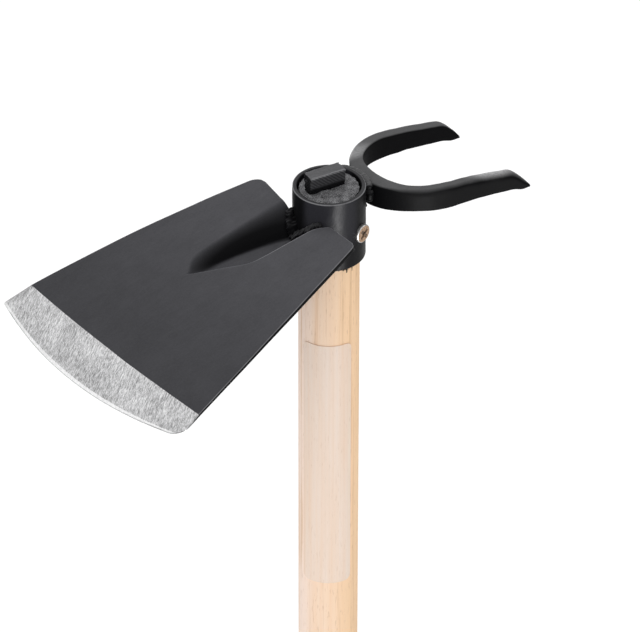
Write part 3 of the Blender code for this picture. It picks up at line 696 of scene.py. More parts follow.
def paint_material(name, top_light, roughness, depth=PAINT_DEPTH, specular=PAINT_SPECULAR, painted_light=painted_light_mask,
                   wall=None, highlight_colour=None, over=None, ribs=None):
    """Satin black paint with painted light: a grey tone on what faces up.

    wall and over are each a mask and the colour that it lays on: under the painted light, and over
    everything. highlight_colour is the painted highlight where vertices are marked, and ribs a relief.
    """
    mat, tree = new_material(name)
    clouds, specks, streaks = [noise_of(tree, *kind) for kind in (CLOUDS, SPECKS, STREAKS)]
    mottle = weigh(tree, PAINT_MOTTLE, clouds, specks, streaks)
    lift = span(tree, mottle, *MOTTLE_LIFT)
    colour = PAINT_DARK
    # Painted light on walls that face the front
    if wall:
        colour = mix(tree, times(tree, wall[0](tree), lift), colour, wall[1])
    # Painted light: the grey tone on what faces up
    colour = mix(tree, times(tree, painted_light(tree), lift), colour, top_light)
    # Painted highlights where vertices are marked
    if highlight_colour:
        marked = node(tree, "Attribute", attribute_name="painted_highlight").outputs["Fac"]
        colour = mix(tree, times(tree, marked, span(tree, mottle, *HIGHLIGHT_PATCHY)), colour, highlight_colour)
    # Over everything: painted shade on the wedge, painted light on the fork
    if over:
        colour = mix(tree, over[0](tree), colour, over[1])
    relief = weigh(tree, PAINT_RELIEF, clouds, specks)
    if ribs:
        relief = calc(tree, "ADD", relief, times(tree, ribs(tree), RIB_RELIEF))
    gloss = [roughness + change for change in PAINT_ROUGHER]
    surface(tree, colour, (clouds, *gloss), relief, depth, specular)
    return mat


def collar_material():
    # Painted light on the top and on the front wall, painted shade at the wall's foot, and a painted
    # highlight on the rim
    wall = (collar_wall_mask, COLLAR_WALL_LIGHT)
    return paint_material("collar_paint_painted_light", COLLAR_TOP_LIGHT, roughness=0.38, wall=wall, highlight_colour=EDGE_HIGHLIGHT)


def wedge_material():
    """Matt paint over the saw's ribs, with painted light on its top and front wall, and painted shade between
    the ribs and at the foot.
    """
    wall, over = (wall_mask, WEDGE_WALL_LIGHT), (wedge_painted_shade_mask, PAINT_DARK)
    return paint_material("wedge_paint_matt", WEDGE_TOP_LIGHT, roughness=0.65, depth=1.6 * PAINT_DEPTH,
                          wall=wall, highlight_colour=EDGE_HIGHLIGHT, over=over, ribs=wedge_ribs)


def blade_material():
    # Painted light on what faces up, and painted highlights on the near lip and the near half's rim
    return paint_material("blade_paint_painted_light", BLADE_TOP_LIGHT, roughness=0.40, specular=0.03,
                          painted_light=blade_painted_light_mask, highlight_colour=BLADE_EDGE_HIGHLIGHT)


def fork_material():
    """Paint with painted light on what faces up and on the near arm's wall, painted shade at its root by the
    collar, and painted light along two stretches.
    """
    wall, over = (fork_wall_mask, FORK_WALL_LIGHT), (fork_painted_light_mask, FORK_PALE_LIGHT)
    return paint_material("fork_paint_painted_light", FORK_TOP_LIGHT, roughness=0.45, specular=0.015, wall=wall, over=over)


def weld_material():
    # Painted light on what faces up
    return paint_material("weld_paint_painted_light", WELD_TOP_LIGHT, roughness=0.35, specular=WELD_SPECULAR)


def bright_lit_weld_material():
    # A brighter painted light on what faces up
    return paint_material("weld_paint_bright_painted_light", FORK_WELD_TOP_LIGHT, roughness=0.45, depth=2 * PAINT_DEPTH,
                          specular=WELD_SPECULAR)


def end_grain_material():
    """Painted end grain: pores and torn fibres show through as a stipple."""
    mat, tree = new_material("painted_end_grain")
    pores = noise_of(tree, *END_PORES)
    stipple = weigh(tree, END_STIPPLE, pores, noise_of(tree, *END_PATCHES))
    colour = mix(tree, span(tree, stipple, *END_TONE), END_GRAIN_DARK, END_GRAIN_LIGHT)
    surface(tree, colour, (pores, 0.6, 0.8), stipple, depth=0.0006, specular=PAINT_SPECULAR)
    return mat


def run_paint_mask(tree, aside):
    """Paint that ran down the wood from the collar, further on the right."""
    run = times(tree, span(tree, noise_of(tree, *PAINT_RUNS), *RUN_SPREAD), span(tree, aside, *RUN_LENGTH))
    return span(tree, calc(tree, "ADD", axis(tree, 2), run), RUN_TOP_Z - RUN_EDGE, RUN_TOP_Z + RUN_EDGE)


def wood_material():
    """Pale turned beech: faint long grain, short flecks, and black paint run on below the collar."""
    mat, tree = new_material("beech")
    grain, bands, flecks = [noise_of(tree, *kind) for kind in (WOOD_GRAIN, WOOD_BANDS, WOOD_FLECKS)]
    aside = weigh(tree, WOOD_RIGHT, axis(tree, 0), axis(tree, 1))
    wood = mix(tree, span(tree, grain, *GRAIN_TONE), WOOD_PALE, WOOD_DEEP)
    wood = mix(tree, span(tree, bands, *BAND_TONE), wood, WOOD_WARM)
    # Painted shade on the right side, warmer and darker, and painted light on the left, pale pink
    wood = mix(tree, span(tree, aside, *SHADED_WARM_SIDE, smooth=True), wood, WOOD_WARM)
    wood = mix(tree, span(tree, aside, *LIT_PINK_SIDE, smooth=True), wood, WOOD_LIT_PINK)
    wood = mix(tree, span(tree, noise_of(tree, *WOOD_STREAKS), *STREAK_TONE), wood, WOOD_STREAK)
    wood = mix(tree, span(tree, flecks, *FLECK_TONE), wood, WOOD_FLECK)
    wood = mix(tree, run_paint_mask(tree, aside), wood, PAINT_DARK)
    relief = calc(tree, "SUBTRACT", grain, span(tree, flecks, *FLECK_RELIEF))
    surface(tree, wood, (grain, 0.50, 0.66), relief, depth=0.00012, specular=0.05)
    return mat


def film_material():
    """Clear film: the wood's own grain shows through it, paler, with faint creases."""
    mat, tree = new_material("clear_film")
    grain, flecks, creases = [noise_of(tree, *kind) for kind in (WOOD_GRAIN, WOOD_FLECKS, FILM_CREASES)]
    seen = mix(tree, span(tree, grain, *GRAIN_TONE), FILM_PALE, FILM_DEEP)
    seen = mix(tree, span(tree, flecks, *FILM_FLECK_TONE), seen, WOOD_FLECK)
    surface(tree, seen, (creases, 0.50, 0.62), creases, depth=0.0002, specular=0.08, alpha=FILM_COVER)
    return mat


def steel_material(name, low, high, roughness):
    """Bare ground steel: fine scratches left by the wheel, along the blade."""
    mat, tree = new_material(name)
    turned = node(tree, "VectorRotate", {0: place(tree), "Angle": -SCRATCH_TURN}, rotation_type="Z_AXIS")
    scratches = noise_of(tree, *SCRATCHES, turned.outputs[0])
    fine = noise_of(tree, *FINE_SCRATCHES, turned.outputs[0])
    tone = weigh(tree, STEEL_TONE, scratches, fine, noise_of(tree, *STEEL_PATCHES))
    gloss = [roughness + change for change in STEEL_ROUGHER]
    colour = mix(tree, span(tree, tone, *STEEL_SPREAD), low, high)
    surface(tree, colour, (tone, *gloss), scratches, depth=0.0002, metallic=1.0)
    return mat


def clouded_material(name, kind, spread, low, high, gloss, **levels):
    """Clouds of one colour on another."""
    mat, tree = new_material(name)
    clouds = noise_of(tree, *kind)
    surface(tree, mix(tree, span(tree, clouds, *spread), low, high), (clouds, *gloss), clouds, **levels)
    return mat


def screw_materials():
    """Zinc plate, soil and oxide in the cross, and the face's worn zinc, tan with both."""
    return (
        clouded_material("zinc_plate", ZINC_CLOUDS, ZINC_SPREAD, ZINC, ZINC_DULL,
                         gloss=(0.28, 0.45), depth=0.00008, metallic=0.9),
        clouded_material("screw_recess", RECESS_CLOUDS, NOISE_SPREAD, RECESS_BROWN, FACE_BROWN,
                         gloss=(0.6, 0.85), depth=0.0001),
        clouded_material("screw_face", FACE_CLOUDS, FACE_SPREAD, FACE_BROWN, FACE_TAN,
                         gloss=(0.45, 0.65), depth=0.0001, specular=0.3),
    )


# Handle and wedge


def handle_radius(z):
    slim = ease((TAPER_TOP_Z - z) / (TAPER_TOP_Z - TAPER_BOTTOM_Z))
    return HANDLE_HEAD_RADIUS + slim * (HANDLE_GRIP_RADIUS - HANDLE_HEAD_RADIUS)


def wedge_half_size(z, grow):
    part = (z - WEDGE_TIP_Z) / (WEDGE_TOP_Z - WEDGE_TIP_Z)
    width = WEDGE_TIP_WIDTH + part * (WEDGE_TOP_WIDTH - WEDGE_TIP_WIDTH)
    return 0.5 * WEDGE_LENGTH + grow, 0.5 * width + grow


def wedge_point(u, v, z):
    x = WEDGE_CENTRE[0] + u * cos(WEDGE_TURN) - v * sin(WEDGE_TURN)
    y = WEDGE_CENTRE[1] + u * sin(WEDGE_TURN) + v * cos(WEDGE_TURN)
    return Vector((x, y, z))


def wedge_way(u, v):
    """Direction along the wedge, across it or between."""
    return wedge_point(u, v, 0) - wedge_point(0, 0, 0)


def slot_ring(z):
    """The wedge's slot at one level, with a point under each point of the handle's rings."""
    half_length, half_width = wedge_half_size(z, GAP)
    ring = []
    for rim in level_ring(HANDLE_HEAD_RADIUS, z):
        way = Matrix.Rotation(-WEDGE_TURN, 2) @ Vector((rim.x - WEDGE_CENTRE[0], rim.y - WEDGE_CENTRE[1]))
        reach = min(half_length / max(abs(way.x), GAP), half_width / max(abs(way.y), GAP))
        ring.append(wedge_point(way.x * reach, way.y * reach, z))
    return ring


def handle_side_rings():
    """From the flat at the butt, round its edge and up the taper."""
    rings = []
    rise = HANDLE_GRIP_RADIUS - BUTT_FLAT_RADIUS
    for part in parts(BUTT_STEPS)[:-1]:
        turn = 0.5 * pi * part
        rings.append(level_ring(BUTT_FLAT_RADIUS + rise * sin(turn), BUTT_ROUND_HEIGHT * (1 - cos(turn))))
    height = HANDLE_LENGTH - 3 * END_CHIP - BUTT_ROUND_HEIGHT
    levels = [BUTT_ROUND_HEIGHT + height * part for part in parts(HANDLE_LEVELS)]
    return rings + [level_ring(handle_radius(z), z) for z in levels]


def end_grain_rings():
    """From the chipped edge of the end grain inwards to the slot, and down into it."""
    slot = slot_ring(HANDLE_LENGTH)
    rings = []
    edge = level_ring(HANDLE_HEAD_RADIUS, HANDLE_LENGTH)
    for part in parts(END_GRAIN_STEPS):
        ring = []
        for outer, inner in zip(edge, slot):
            point = outer.lerp(inner, part ** END_GRAIN_SPREAD)
            if part == 0:
                chip = END_CHIP * (1.0 + END_CHIP_CHANGE * noise.noise(outer * END_CHIP_SCALE))
                point -= Vector((outer.x, outer.y, 0)).normalized() * max(chip, END_CHIP_LEAST)
            point.z += uneven(point, END_GRAIN_LUMPS)
            ring.append(point)
        rings.append(ring)
    return rings + [slot_ring(HANDLE_LENGTH - SLOT_LIP), slot_ring(WEDGE_TIP_Z - GAP)]


def make_handle():
    bm = loft(handle_side_rings() + end_grain_rings())
    for face in bm.faces:
        if face.calc_center_median().z > END_GRAIN_Z:
            face.material_index = 1
    dress(add_mesh("handle_wood", bm, (wood_material(), end_grain_material()), sharp=50), "wood", "handle")


def wedge_outline(half_length, half_width):
    """Points once round a rectangle about the wedge's centre."""
    corners = [(u * half_length, v * half_width) for u, v in SQUARE]
    points = []
    for i, (u, v) in enumerate(corners):
        next_u, next_v = corners[(i + 1) % len(corners)]
        steps = parts(WEDGE_STEPS[i % len(WEDGE_STEPS)])[:-1]
        points += [(u + (next_u - u) * part, v + (next_v - v) * part) for part in steps]
    return points


def sawn(point, u, v, near_end):
    """Move a point on the wedge's side by the saw's ribs, and inwards where its end is torn."""
    along, across = wedge_way(copysign(1, u), 0), wedge_way(0, copysign(1, v))
    rib = WEDGE_RIB_HEIGHT * sin(u * WEDGE_RIB_WAVE) + uneven(point, WEDGE_SIDE_LUMPS)
    torn = min(uneven(point, WEDGE_END_LUMPS), 0.0) if near_end else 0.0
    return point + across * rib + along * 2 * torn


def wedge_level(z, shrink, share=1.0):
    """A ring round the wedge's sides, or on its top at a share of its size."""
    half_length, half_width = wedge_half_size(min(z, WEDGE_TOP_Z), 0.0)
    ring = []
    for u, v in wedge_outline(half_length - shrink, half_width - shrink):
        u, v = u * (1 - WEDGE_TOP_DRAW * (1 - share)), v * share
        point = wedge_point(u, v, z)
        if share == 1.0:
            point = sawn(point, u, v, abs(u) > half_length - 2 * shrink - WEDGE_TORN)
        else:
            point.z += uneven(point, WEDGE_TOP_LUMPS)
        ring.append(point)
    return ring


def make_wedge():
    rings = [wedge_level(WEDGE_TIP_Z, WEDGE_TIP_BREAK)]
    rise = WEDGE_TOP_Z - WEDGE_EDGE - WEDGE_TIP_Z
    rings += [wedge_level(WEDGE_TIP_Z + rise * part, 0.0) for part in parts(WEDGE_LEVELS)[1:]]
    rings.append(wedge_level(WEDGE_TOP_Z - WEDGE_BREAK, WEDGE_BREAK))
    rings += [wedge_level(WEDGE_TOP_Z, WEDGE_EDGE, share) for share in WEDGE_TOP_SHARES]
    bm = loft(rings)
    # Painted highlight along the wedge's near top edge
    painted_highlight = bm.verts.layers.float["painted_highlight"]
    for vert in bm.verts:
        out = wedge_way(0, -1).dot(vert.co - wedge_point(0, 0, vert.co.z))
        on_top = vert.co.z > WEDGE_TOP_Z - WEDGE_EDGE_HIGHLIGHT_HEIGHT
        if on_top and out > 0.5 * WEDGE_TOP_WIDTH - WEDGE_EDGE_HIGHLIGHT_WIDTH:
            vert[painted_highlight] = WEDGE_EDGE_HIGHLIGHT
    dress(add_mesh("wedge_block", bm, (wedge_material(),), sharp=55), "wedge", "handle_wedge")


# Collar


def collar_profile():
    """The tube's wall from its inner foot, round its rim and back, with rounded edges."""
    inner, edge = COLLAR_RADIUS - COLLAR_WALL + COLLAR_EDGE, COLLAR_EDGE
    outer, low, high = COLLAR_RADIUS - edge, RIM_Z - COLLAR_HEIGHT + edge, RIM_Z - edge
    wall = []
    for r, z, start in ((inner, low, 180), (outer, low, 270), (outer, high, 0), (inner, high, 90)):
        if start == 0:
            wall += [(COLLAR_RADIUS, low + (high - low) * part) for part in parts(COLLAR_LEVELS)[1:-1]]
        wall += [(r + x, z + y) for x, y in arc(edge, start, 90, COLLAR_CORNER_STEPS)]
    return wall


def make_collar():
    """The tube, a little uneven under its paint."""
    wall = collar_profile()
    rings = []
    for side in circle(1, COLLAR_SIDES):
        way = Vector((*side, 0))
        ring = []
        for r, z in wall:
            point = way * r + Vector((0, 0, z))
            if r > COLLAR_RADIUS - 0.5 * COLLAR_WALL:
                point += way * (uneven(point, TUBE_LUMPS) - COLLAR_SUNK)
            ring.append(point)
        rings.append(ring)
    bm = loft(rings, closed=True)
    # Painted highlight round the outer edge of the rim
    painted_highlight = bm.verts.layers.float["painted_highlight"]
    for vert in bm.verts:
        outer = hypot(vert.co.x, vert.co.y) > COLLAR_RADIUS - COLLAR_EDGE
        if outer and vert.co.z > COLLAR_RIM_HIGHLIGHT_Z:
            vert[painted_highlight] = COLLAR_RIM_HIGHLIGHT
    dress(add_mesh("collar_tube", bm, (collar_material(),), sharp=60), "black_paint", "socket_collar")


# Fixing screw


def screw_point(distance, side, up):
    """Point at a distance from the handle's axis along the screw, and off the screw's own axis."""
    out_way = Vector((sin(SCREW_TURN), -cos(SCREW_TURN), 0))
    side_way = Vector((cos(SCREW_TURN), sin(SCREW_TURN), 0))
    return out_way * distance + side_way * (SCREW_OFFSET + side) + Vector((0, 0, SCREW_Z + up))


def screw_rings():
    """Point, shank and pan head with a rounded crown."""
    seat = COLLAR_RADIUS - SCREW_SUNK
    profile = [
        (seat - SCREW_LENGTH, SCREW_TIP_RADIUS),
        (seat - SCREW_LENGTH + SCREW_TIP_LENGTH, SCREW_SHANK_RADIUS),
        (seat, SCREW_SHANK_RADIUS),
        (seat, SCREW_HEAD_RADIUS),
    ]
    for part in parts(SCREW_CROWN_STEPS)[:-1]:
        turn = 0.5 * pi * part
        rise = SCREW_HEAD_HEIGHT - SCREW_CROWN_HEIGHT + SCREW_CROWN_HEIGHT * sin(turn)
        profile.append((seat + rise, SCREW_HEAD_RADIUS * cos(turn) ** SCREW_CROWN_POWER))
    return [[screw_point(d, *side) for side in circle(radius, SCREW_SIDES)] for d, radius in profile]


def recess_rings(turn):
    """One bar of the cross recess: a slot that narrows towards its floor."""
    crown = COLLAR_RADIUS + SCREW_HEAD_HEIGHT
    rings = []
    for depth, length in ((RECESS_DEPTH, RECESS_FLOOR_LENGTH), (0.0, RECESS_LENGTH), (-GAP, RECESS_LENGTH)):
        ring = []
        for u, v in SQUARE:
            along, across = 0.5 * u * length, 0.5 * v * RECESS_WIDTH
            side = along * cos(turn) - across * sin(turn)
            up = along * sin(turn) + across * cos(turn)
            ring.append(screw_point(crown - depth, side, up))
        rings.append(ring)
    return rings


def cut_recess(screw):
    """Cut both bars of the cross out of the screw's head, and apply the cuts."""
    cutters = []
    for name, turn in (("recess_bar", RECESS_TURN), ("recess_cross_bar", RECESS_TURN + 0.5 * pi)):
        cutter = add_mesh(name, loft(recess_rings(turn)), (screw.data.materials[1],))
        cut = screw.modifiers.new(name, "BOOLEAN")
        cut.operation = "DIFFERENCE"
        cut.solver = "EXACT"
        cut.object = cutter
        cutters.append(cutter)
    graph = bpy.context.evaluated_depsgraph_get()
    cut_mesh = bpy.data.meshes.new_from_object(screw.evaluated_get(graph))
    screw.modifiers.clear()
    screw.data = cut_mesh
    for cutter in cutters:
        bpy.data.objects.remove(cutter, do_unlink=True)


def screw_finish(centre, out_way, point):
    """Index of the finish at a point of the screw: 0 its sides and shank, 1 the cross, 2 the face."""
    into = (centre - point).dot(out_way)
    aside = (point - centre + out_way * into).length
    level = 1 - min(aside / SCREW_HEAD_RADIUS, 1.0) ** (2 / SCREW_CROWN_POWER)
    below_crown = into - SCREW_CROWN_HEIGHT * (1 - sqrt(level))
    if below_crown > RECESS_LEAST_DEPTH and into < RECESS_DEPTH + GAP and aside < RECESS_REACH:
        return 1
    return 2 if into < SCREW_FACE * SCREW_CROWN_HEIGHT and aside < SCREW_FACE * SCREW_HEAD_RADIUS else 0


def make_screw():
    screw = add_mesh("screw_head", loft(screw_rings()), screw_materials(), sharp=30)
    cut_recess(screw)
    centre = screw_point(COLLAR_RADIUS + SCREW_HEAD_HEIGHT, 0, 0)
    out_way = (centre - screw_point(0, 0, 0)).normalized()
    for face in screw.data.polygons:
        face.material_index = screw_finish(centre, out_way, face.center)
    dress(screw, "zinc", "fixing_screw")


# Blade


def soft_least(a, b, rounding):
    """The smaller of two values, with a rounded turn from one to the other."""
    return 0.5 * (a + b - sqrt((a - b) ** 2 + rounding ** 2))


def tip_part(x):
    """0 at the trough's tip and beyond it, 1 where the trough has its full width."""
    return unit((x - TROUGH_TIP_X) / TROUGH_TIP_LENGTH)


def far_side(x, side):
    """A line of the far side, drawn in round the tip."""
    part = max(tip_part(x), GAP)
    return TROUGH_TIP_Y + (side - TROUGH_TIP_Y) * part * (2 - part)


def far_foot_y(x):
    """The foot of the far wall, which draws in towards the collar."""
    bend = TROUGH_FOOT_BEND * max(x - TROUGH_FOOT_BEND_X, 0.0) ** 2
    return far_side(x, TROUGH_FAR_FOOT_Y) - bend


def crest_y(x):
    """The far crest, which draws in a little towards the collar."""
    run = TROUGH_CREST_RUN * max(x - TROUGH_TIP_X - TROUGH_TIP_LENGTH, 0.0)
    return far_side(x, TROUGH_CREST_Y) - run


def lip_y(x):
    """The near lip: straight from the tip, then along the trough, and flared at the collar."""
    leaving = TROUGH_TIP_Y - TROUGH_LIP_FALL * max(x - TROUGH_TIP_X, 0.0)
    along = TROUGH_LIP_Y - TROUGH_LIP_RUN * max(x - TROUGH_LIP_X, TROUGH_TIP_X - TROUGH_LIP_X)
    flare = max((x - TROUGH_FLARE_X) / (BLADE_REAR_X - TROUGH_FLARE_X), 0.0)
    return -soft_least(-leaving, -along, TROUGH_LIP_TURN) - TROUGH_FLARE * flare ** 2


def near_foot_y(x):
    """The foot of the near wall, straight from the tip and then level."""
    part = unit((x - TROUGH_TIP_X) / (TROUGH_LIP_X - TROUGH_TIP_X))
    return max(TROUGH_TIP_Y + (TROUGH_NEAR_FOOT_Y - TROUGH_TIP_Y) * part, lip_y(x) + GAP)


def curved(part, curve):
    """A wall's fall, 0 at its top and 1 at its foot: straight, or gentle at first with a curve."""
    return part * (1 + curve * (abs(part) - 1))


def trough_depth(x, y):
    """Depth of the pressed trough: a level floor between two walls, with rounded turns."""
    tip = tip_part(x)
    floor = TROUGH_FALL * (x - TROUGH_TIP_X) + TROUGH_TIP_DROP * tip * (2 - tip)
    rise = max(floor, TROUGH_LEAST_RISE)
    soft = 1 - ease((x - TROUGH_LIP_SOFT_X) / TROUGH_LIP_SOFT_RUN)
    from_crest = (crest_y(x) - y) / (crest_y(x) - far_foot_y(x))
    from_lip = (y - lip_y(x)) / (near_foot_y(x) - lip_y(x))
    far_wall = rise * curved(from_crest, tip * TROUGH_WALL_CURVE)
    near_wall = rise * curved(from_lip, soft * TROUGH_LIP_CURVE)
    most_round = TROUGH_ROUND_SHARE * rise
    foot_round = min(TROUGH_FOOT_ROUND, most_round)
    pressed = soft_least(soft_least(far_wall, near_wall, foot_round), floor, foot_round)
    far_part = ease((y - near_foot_y(x)) / (far_foot_y(x) - near_foot_y(x)))
    rounding = TROUGH_LIP_ROUND + far_part * (TROUGH_CREST_ROUND - TROUGH_LIP_ROUND)
    return -soft_least(-pressed, 0.0, min(rounding, most_round))


def blade_height(x, y):
    """Height of the upper face before its cutting edge is ground."""
    out = BLADE_REAR_X - x
    return BLADE_REAR_Z - BLADE_FALL * out - BLADE_BOW * out ** 2 - trough_depth(x, y)


def blade_normal(x, y):
    step = SLOPE_STEP
    slope_x = (blade_height(x + step, y) - blade_height(x - step, y)) / (2 * step)
    slope_y = (blade_height(x, y + step) - blade_height(x, y - step)) / (2 * step)
    return Vector((-slope_x, -slope_y, 1)).normalized()


def corner_inset(distance, radius):
    """How far a rounded corner pulls a side in, at a distance from the end it meets."""
    if distance >= radius:
        return 0.0
    return radius - sqrt(radius ** 2 - (radius - distance) ** 2)


def rear_x(y):
    """The rear edge, drawn in beside the trough on the far half and clear of the collar."""
    slant = (REAR_DRAW_START_Y - y) / (REAR_DRAW_START_Y - REAR_DRAW_END_Y)
    drawn = unit(slant) if y > 0 else 0.0
    clear = COLLAR_RADIUS + COLLAR_TO_BLADE
    off_collar = sqrt(max(clear ** 2 - y ** 2, 0.0))
    return -max(REAR_DRAW * drawn - BLADE_REAR_X, off_collar)


def ground_x(y):
    """Where the paint stops and the ground band starts."""
    return BLADE_REAR_X - GROUND_START + GROUND_START_SAG * (y / EDGE_SPAN) ** 2


def edge_x(y):
    """The cutting edge: a shallow arc, ground a little further back on the near side."""
    return BLADE_REAR_X - EDGE_REACH + EDGE_SAG * (y / EDGE_SPAN) ** 2 - EDGE_SKEW * y


def blade_columns(out, near_half, far_half):
    """Positions across one row: close together at the turns of the trough, wider elsewhere."""
    x = BLADE_REAR_X - out
    stops = (
        -near_half,
        lip_y(x) - 2 * TROUGH_LIP_ROUND,
        lip_y(x) + TROUGH_LIP_BAND * (near_foot_y(x) - lip_y(x)),
        near_foot_y(x),
        far_foot_y(x),
        crest_y(x) - TROUGH_CREST_BAND * (crest_y(x) - far_foot_y(x)),
        crest_y(x) + 2 * TROUGH_CREST_ROUND,
        far_half,
    )
    columns = [stops[0]]
    for stop, count in zip(stops[1:], TROUGH_COLUMNS):
        start = columns[-1]
        end = max(stop, start + LEAST_COLUMN * count)
        columns += [start + (end - start) * part for part in parts(count)[1:]]
    return columns


def blade_outs():
    """Distances out of all rows of points, from the rear edge to the cutting edge."""
    painted, ground = PAINTED_END - REAR_CORNER_FAR, EDGE_END - PAINTED_END
    outs = list(REAR_CORNER_ROWS)
    outs += [REAR_CORNER_FAR + painted * part for part in parts(BLADE_ROWS)[1:]]
    return outs + [PAINTED_END + ground * sin(0.5 * pi * part) for part in parts(GROUND_ROWS)[1:]]


def blade_row(out):
    """Upper and lower points of one row across the blade."""
    half = BLADE_REAR_HALF_WIDTH + BLADE_FLARE * out - BLADE_FLARE_EASE * out ** 2
    left = EDGE_END - out
    near_half = half - corner_inset(out, REAR_CORNER_NEAR) - corner_inset(left, EDGE_CORNER_NEAR)
    far_half = half - corner_inset(out, REAR_CORNER_FAR) - corner_inset(left, EDGE_CORNER_FAR)
    painted = min(out / PAINTED_END, 1.0)
    ground = max((out - PAINTED_END) / (EDGE_END - PAINTED_END), 0.0)
    plate = BLADE_REAR_THICKNESS + painted * (BLADE_FRONT_THICKNESS - BLADE_REAR_THICKNESS)
    ground_off = ground * (plate - EDGE_THICKNESS)
    upper, lower = [], []
    for y in blade_columns(out, near_half, far_half):
        rear = rear_x(y)
        x = rear + painted * (ground_x(y) - rear) + ground * (edge_x(y) - ground_x(y))
        pressed = Vector((x, y, blade_height(x, y) + uneven((x, y, 0), PLATE_LUMPS)))
        normal = blade_normal(x, y)
        upper.append(pressed - normal * ground_off)
        lower.append(pressed - normal * plate)
    return upper, lower


def grid_rim(grid):
    """The border of a grid, once round."""
    right = [row[-1] for row in grid[1:-1]]
    left = [row[0] for row in grid[1:-1]]
    return grid[0] + right + grid[-1][::-1] + left[::-1]


def rim_ways(top, low):
    """At each point of a plate's border: directions out and down, its rounding and thickness."""
    centre = sum(top, Vector()) / len(top)
    ways = []
    for i, point in enumerate(top):
        run = (top[(i + 1) % len(top)] - top[i - 1]).normalized()
        down = low[i] - point
        rounding = min(BLADE_BREAK, BLADE_BREAK_SHARE * down.length)
        ways.append((run.cross(down).normalized(), down.normalized(), rounding, down.length))
    facing = sum(way[0].dot(point - centre) for way, point in zip(ways, top))
    sign = 1.0 if facing > 0 else -1.0
    return [(out * sign, *others) for out, *others in ways]


def rim_ring(rim, ways, degrees, below):
    """One ring of the rounded border, in its upper or its lower half."""
    turn = radians(degrees)
    ring = []
    for point, (out, down, size, thick) in zip(rim, ways):
        drop = size * (1 - cos(turn))
        ring.append(point + out * size * (sin(turn) - 1) + down * (thick - drop if below else drop))
    return ring


def plate_mesh(upper, lower):
    """A thin closed solid from two grids of points, with its border rounded over."""
    bm = bmesh.new()
    marks = bm.verts.layers.float.new("painted_highlight")
    top_rim = grid_rim(upper)
    ways = rim_ways(top_rim, grid_rim(lower))
    rings = [rim_ring(top_rim, ways, turn, False) for turn in BLADE_BREAK_TURNS]
    rings += [rim_ring(top_rim, ways, turn, True) for turn in BLADE_BREAK_TURNS[::-1]]
    rim_verts = [[bm.verts.new(point) for point in ring] for ring in rings]
    # The rounded border is marked for the painted highlight
    for vert in rim_verts[1] + rim_verts[2]:
        vert[marks] = 1.0
    for grid, ring in ((upper, rim_verts[0]), (lower, rim_verts[-1])):
        on_rim = {id(point): vert for point, vert in zip(grid_rim(grid), ring)}
        rows = [[on_rim.get(id(point)) or bm.verts.new(point) for point in row] for row in grid]
        skin(bm, rows, once_round=False)
    skin(bm, rim_verts)
    return bm


def mark_painted_highlights(bm):
    """Painted highlights along the near lip, and on the rim of the near half."""
    marks = bm.verts.layers.float["painted_highlight"]
    for vert in bm.verts:
        x, y = vert.co.x, vert.co.y
        if vert[marks]:
            vert[marks] = HIGHLIGHT_RIM * ease((HIGHLIGHT_RIM_Y - y) / HIGHLIGHT_FADE)
        elif vert.co.z > blade_height(x, y) - 0.5 * BLADE_FRONT_THICKNESS:
            close = 1 - abs(y - lip_y(x)) / HIGHLIGHT_LIP_WIDTH
            vert[marks] = max(close, 0.0) * ease((x - HIGHLIGHT_LIP_X) / HIGHLIGHT_FADE)


def make_blade():
    steel = steel_material("ground_steel", STEEL_DARK, STEEL_LIGHT, roughness=0.38)
    honed = steel_material("honed_steel", HONED_DARK, HONED_LIGHT, roughness=0.30)
    upper, lower = zip(*[blade_row(out) for out in blade_outs()])
    bm = plate_mesh(upper, lower)
    mark_painted_highlights(bm)
    bmesh.ops.recalc_face_normals(bm, faces=bm.faces)
    for face in bm.faces:
        middle = face.calc_center_median()
        if middle.x < ground_x(middle.y) and face.normal.z > LEAST_UPWARD:
            at_edge = middle.x - edge_x(middle.y) < HONED_WIDTH
            face.material_index = 2 if at_edge else 1
    dress(add_mesh("blade_body", bm, (blade_material(), steel, honed), sharp=60), "blade_paint", "hoe_blade")


# Fork


def blend(points, x, column):
    """Value of one column of a table at x, with straight lines between its rows."""
    for low, high in zip(points, points[1:]):
        if x <= high[0]:
            break
    part = unit((x - low[0]) / (high[0] - low[0]))
    return low[column] + part * (high[column] - low[column])


def smooth_blend(x, column):
    """The fork's profile with its turns rounded, as forging leaves them."""
    reach = min(FORK_SMOOTHING, FORK_TIP_X - x)
    total = sum(blend(FORK_PROFILE, x + reach * step, column) for step in FORK_SMOOTHING_STEPS)
    return total / len(FORK_SMOOTHING_STEPS)


def fork_centre(turn):
    """Point on the bar's centre line in plan, round the bend from one tine to the other."""
    bend_depth = FORK_BEND_X - (COLLAR_RADIUS + FORK_OFF_COLLAR + 0.5 * FORK_BASE_WIDTH)
    along = abs(cos(turn)) ** FORK_BEND_POWER
    across = copysign(abs(sin(turn)) ** FORK_BEND_POWER, turn)
    return Vector((FORK_BEND_X - bend_depth * along, FORK_HALF_SPAN * across, 0))


def fork_width(turn):
    """The bar is thickest at the middle of the bend, where it meets the collar."""
    return FORK_TINE_WIDTH + (FORK_BASE_WIDTH - FORK_TINE_WIDTH) * cos(turn) ** FORK_WIDTH_POWER


